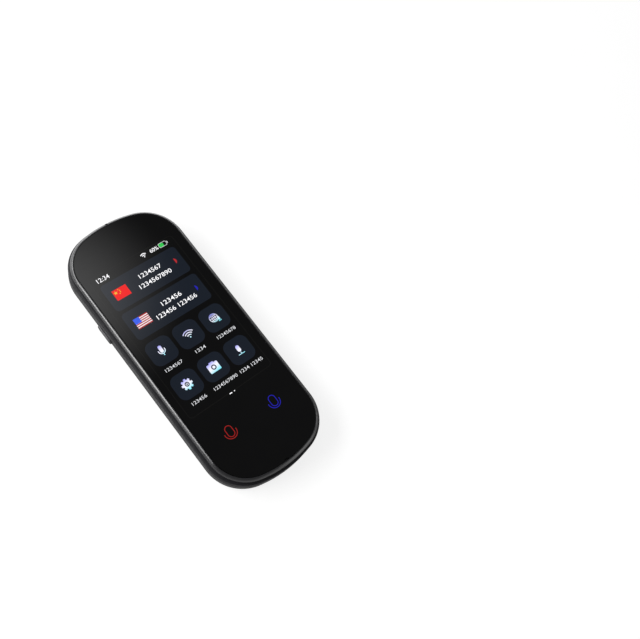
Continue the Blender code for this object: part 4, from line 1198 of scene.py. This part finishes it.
def makeStatusBar():
    s = statusBar
    y = s["y"]
    digits("statusClock", s["clock"], s["clockX"], y - s["clockDrop"], s["clockHeight"], "litWhite")
    digits("statusPercent", s["percent"], s["percentX"], y, s["percentHeight"], "litWhite")
    sign("statusWireless", drawShapes(s["wirelessX"], y, s["wireless"]), "litWhite")
    sign("statusBattery", drawShapes(s["batteryX"], y, s["battery"]), "litLabel")
    sign("statusCharge", drawShapes(s["batteryX"], y, s["charge"]), "litGreen")


cards = {
    "centreX": -0.6, "size": (36.0, 13.2), "corner": 1.7, "rows": (32.4, 17.6),
    # numbers on each card: digits in each group, width, shift from the middle, height
    "numbersX": (2.3, 2.35),
    "numbers": ((((7,), 10.5, 1.9, 2.0), ((10,), 15.2, -2.2, 2.0)),
                (((6,), 9.4, 1.8, 2.0), ((6, 6), 19.2, -2.2, 2.0))),
    "markX": 13.2, "markUp": 0.4, "markRadius": 1.4, "markCut": 0.35,
    "markFinishes": ("litFlagRed", "litMarkBlue"),
    "flagX": -12.4, "flagSize": (6.5, 4.8), "flagRound": 0.1, "stripes": 11,
    # shares of the flag's size: where the big star stands, and the corner field's middle and size
    "starShift": (-0.32, 0.2), "cornerField": (-0.29, 0.23, 0.42, 0.54),
    "stars": ((0, 0, 0.95), (1.5, 0.9, 0.34), (2.0, 0.25, 0.34), (1.95, -0.45, 0.34), (1.4, -1.0, 0.34)),
}


def makeCards():
    c = cards
    for index, y in enumerate(c["rows"]):
        sign(f"languageCard_{index + 1}", [chip(c["centreX"], y, *c["size"], c["corner"])], "litTile")
        for row, (groups, width, up, height) in enumerate(c["numbers"][index]):
            numberRow(f"languageName_{index + 1}_{row + 1}", c["numbersX"][index], y + up, width, height,
                      groups, "litWhite", 1)
        discPart(f"languageMark_{index + 1}", c["markX"], y + c["markUp"], c["markRadius"], c["markCut"],
                 c["markFinishes"][index])
    x = c["flagX"]
    wide, tall = c["flagSize"]
    upper, lower = c["rows"]
    sign("flagRed", [chip(x, upper, wide, tall, c["flagRound"], 1)], "litRed")
    shiftX, shiftY = c["starShift"]
    stars = [star(x + wide * shiftX + across, upper + tall * shiftY + up, radius, 2)
             for across, up, radius in c["stars"]]
    sign("flagStars", stars, "litYellow")
    sign("flagWhite", [chip(x, lower, wide, tall, c["flagRound"], 1)], "litFlagWhite")
    stripe = tall / c["stripes"]
    middle = (c["stripes"] - 1) / 2
    bars = [chip(x, lower + (index - middle) * stripe, wide, stripe, 0.0, 2)
            for index in range(0, c["stripes"], 2)]
    sign("flagStripes", bars, "litFlagRed")
    across, up, width, height = c["cornerField"]
    field = chip(x + wide * across, lower + tall * up, wide * width, tall * height, 0.0, 3)
    sign("flagCorner", [field], "litFlagBlue")


tiles = {
    "columns": (-13.6, -0.75, 12.15), "rows": (2.9, -14.05), "size": (11.2, 11.2),
    "corner": 3.2, "steps": 10,
    "labelDrop": 7.95, "labelHeight": 1.45, "labelBold": 0.005,
    "look": {"color": (0.34, 0.34, 0.86), "waist": (0.88, 0.88, 1.0), "foot": (0.22, 0.80, 0.92),
             "reach": 4.8 * mm, "light": 1.15},
    "lens": {"chips": ((0, -0.15, 2.2, 2.2, 1.09, 2, 0.46, 16),)},
    "pages": {"chips": ((-1.7, -26.8, 1.3, 0.42, 0.2), (0.1, -26.8, 0.45, 0.45, 0.22))},
}

# each tile's sign, with the digits in its label's groups and the label's width
tileSigns = {
    "signMicrophone": {
        "label": ((7,), 8.0), "arcs": ((0, 0.2, 1.42, 180, 180, 0.36, 1),),
        "chips": ((0, 0.8, 1.45, 3.3, 0.71, 1), (0, -1.75, 0.36, 0.8, 0.0, 1),
                  (-1.42, 0.4, 0.36, 0.4, 0.0, 1), (1.42, 0.4, 0.36, 0.4, 0.0, 1))},
    "signWireless": {
        "label": ((4,), 4.8), "chips": ((0, -1.45, 0.6, 0.6, 0.29, 1),),
        "arcs": ((0, -1.55, 1.2, 42, 96, 0.38, 1), (0, -1.55, 2.15, 42, 96, 0.38, 1),
                 (0, -1.55, 3.1, 42, 96, 0.38, 1))},
    "signGlobe": {
        "label": ((8,), 9.0), "look": {"color": (0.16, 0.18, 0.74)},
        "chips": ((-0.25, 0.2, 3.9, 3.9, 1.94, 1, 0.28, 16), (-0.25, 0.2, 1.75, 3.8, 0.86, 1, 0.24, 12),
                  (-0.25, 0.2, 0.24, 3.8, 0.0, 1), (-0.25, 0.2, 3.8, 0.24, 0.0, 1),
                  (-0.25, 1.15, 3.3, 0.24, 0.0, 1), (-0.25, -0.75, 3.3, 0.24, 0.0, 1),
                  (1.45, -0.95, 0.95, 1.7, 0.46, 2), (1.45, -2.1, 1.5, 0.26, 0.1, 2))},
    "signGear": {
        "label": ((6,), 6.8), "around": ((8, (0, 2.02, 0.92, 0.8, 0.14, 1, 0, 4)),),
        "chips": ((0, 0, 3.7, 3.7, 1.84, 1, 0.85, 16), (0, 0, 1.0, 1.0, 0.2, 1, 0.2))},
    "signCamera": {
        "label": ((10,), 11.3),
        "chips": ((0, 0.85, 5.0, 1.8, 0.4, 1), (0, -0.95, 5.0, 2.4, 0.4, 1),
                  (0, 1.85, 2.1, 0.9, 0.28, 1))},
    "signStand": {
        "label": ((4, 5), 11.2),
        "chips": ((0, 0.75, 1.6, 3.0, 0.79, 1), (0, -1.3, 0.3, 0.7, 0.0, 1),
                  (0, -1.8, 3.1, 0.28, 0.12, 1))},
}


def makeTiles():
    t = tiles
    for index, (name, shapes) in enumerate(tileSigns.items()):
        x = t["columns"][index % 3]
        y = t["rows"][index // 3]
        tile = chip(x, y, *t["size"], t["corner"], steps=t["steps"])
        sign(f"tile_{index + 1}", [tile], "litTile")
        finish = f"litSign_{index + 1}"
        makeLitFinish(finish, {**t["look"], **shapes.get("look", {}), "middle": (x * mm, y * mm, 0)})
        sign(name, drawShapes(x, y, shapes), finish)
        groups, width = shapes["label"]
        numberRow(f"label_{index + 1}", x, y - t["labelDrop"], width, t["labelHeight"], groups,
                  "litLabel", bold=t["labelBold"])
    sign("signCameraLens", drawShapes(t["columns"][1], t["rows"][1], t["lens"]), "litTile")
    sign("pageMarks", drawShapes(0, 0, t["pages"]), "litWhite")


talkMarks = {
    "y": -39.65,
    "places": (("talkMarkRed", -11.35, "litMarkRed", "red_lamp"),
               ("talkMarkBlue", 10.35, "litMarkBlue", "blue_lamp")),
    "shapes": {"chips": ((0, 0.75, 3.2, 5.0, 1.58, 0, 0.3, 14), (-2.62, 0.2, 0.3, 0.8, 0.1, 0, 0, 3),
                         (2.62, 0.2, 0.3, 0.8, 0.1, 0, 0, 3)),
               "arcs": ((0, 0.25, 2.65, 190, 160, 0.3),)},
}


def makeTalkMarks():
    for name, x, finish, slot in talkMarks["places"]:
        sign(name, drawShapes(x, talkMarks["y"], talkMarks["shapes"]), finish, slot)


def makeScreen():
    s = screen
    edge = chip(*s["panelCentre"], *s["panelSize"], s["panelCorner"], stroke=s["panelLine"])
    sign("screenEdge", [edge], "litEdge", "panel")
    makeStatusBar()
    makeCards()
    makeTiles()
    makeTalkMarks()


# CAD nodes that stay, listed by finish

keptNodes = {
    "foamBlack": ("glass_tape", "battery_tape", "speaker_gasket"),
    "panelDark": ("display_panel",),
    "lightGuide": ("backlight_unit", "flash_lamp"),
    "filmAmber": ("display_flex", "wifi_antenna", "battery_flex", "board_flex"),
    "maskGreen": ("touch_key_board", "main_board", "lower_board"),
    "lampRed": ("red_lamp",),
    "lampBlue": ("blue_lamp",),
    "milkyPlastic": ("lamp_diffuser", "flash_light_pipe", "battery_connector", "switch_plunger"),
    "steelPressed": ("main_board_screw_1", "main_board_screw_2", "main_board_screw_3",
                     "main_board_screw_4", "lower_board_screw_1", "lower_board_screw_2", "shield_can",
                     "top_microphone", "bottom_microphone", "switch_bracket"),
    "epoxyBlack": ("processor", "memory_chip", "camera_body", "speaker", "side_switch"),
    "rubberSoft": ("top_microphone_boot", "bottom_microphone_boot"),
    "foilDull": ("battery",),
}


def dressKeptNodes():
    for finish, nodes in keptNodes.items():
        for node in nodes:
            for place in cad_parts[node].material_slots:
                place.material = bpy.data.materials[finish]


makeCamera()
makeWorld()
makeLamp()
makeFloor()
print("stage ready")
makeMaterials()
print("finishes ready")
makeRearShell()
print("rear shell ready")
makeMiddleBand()
print("middle band ready")
makeFrontRim()
makeFrontGlass()
print("rim and glass ready")
makeSideKey()
makeSocket()
makeRearDetails()
print("key, socket and rear details ready")
makeScreen()
print("screen ready")
dressKeptNodes()
bpy.ops.object.select_all(action="DESELECT")
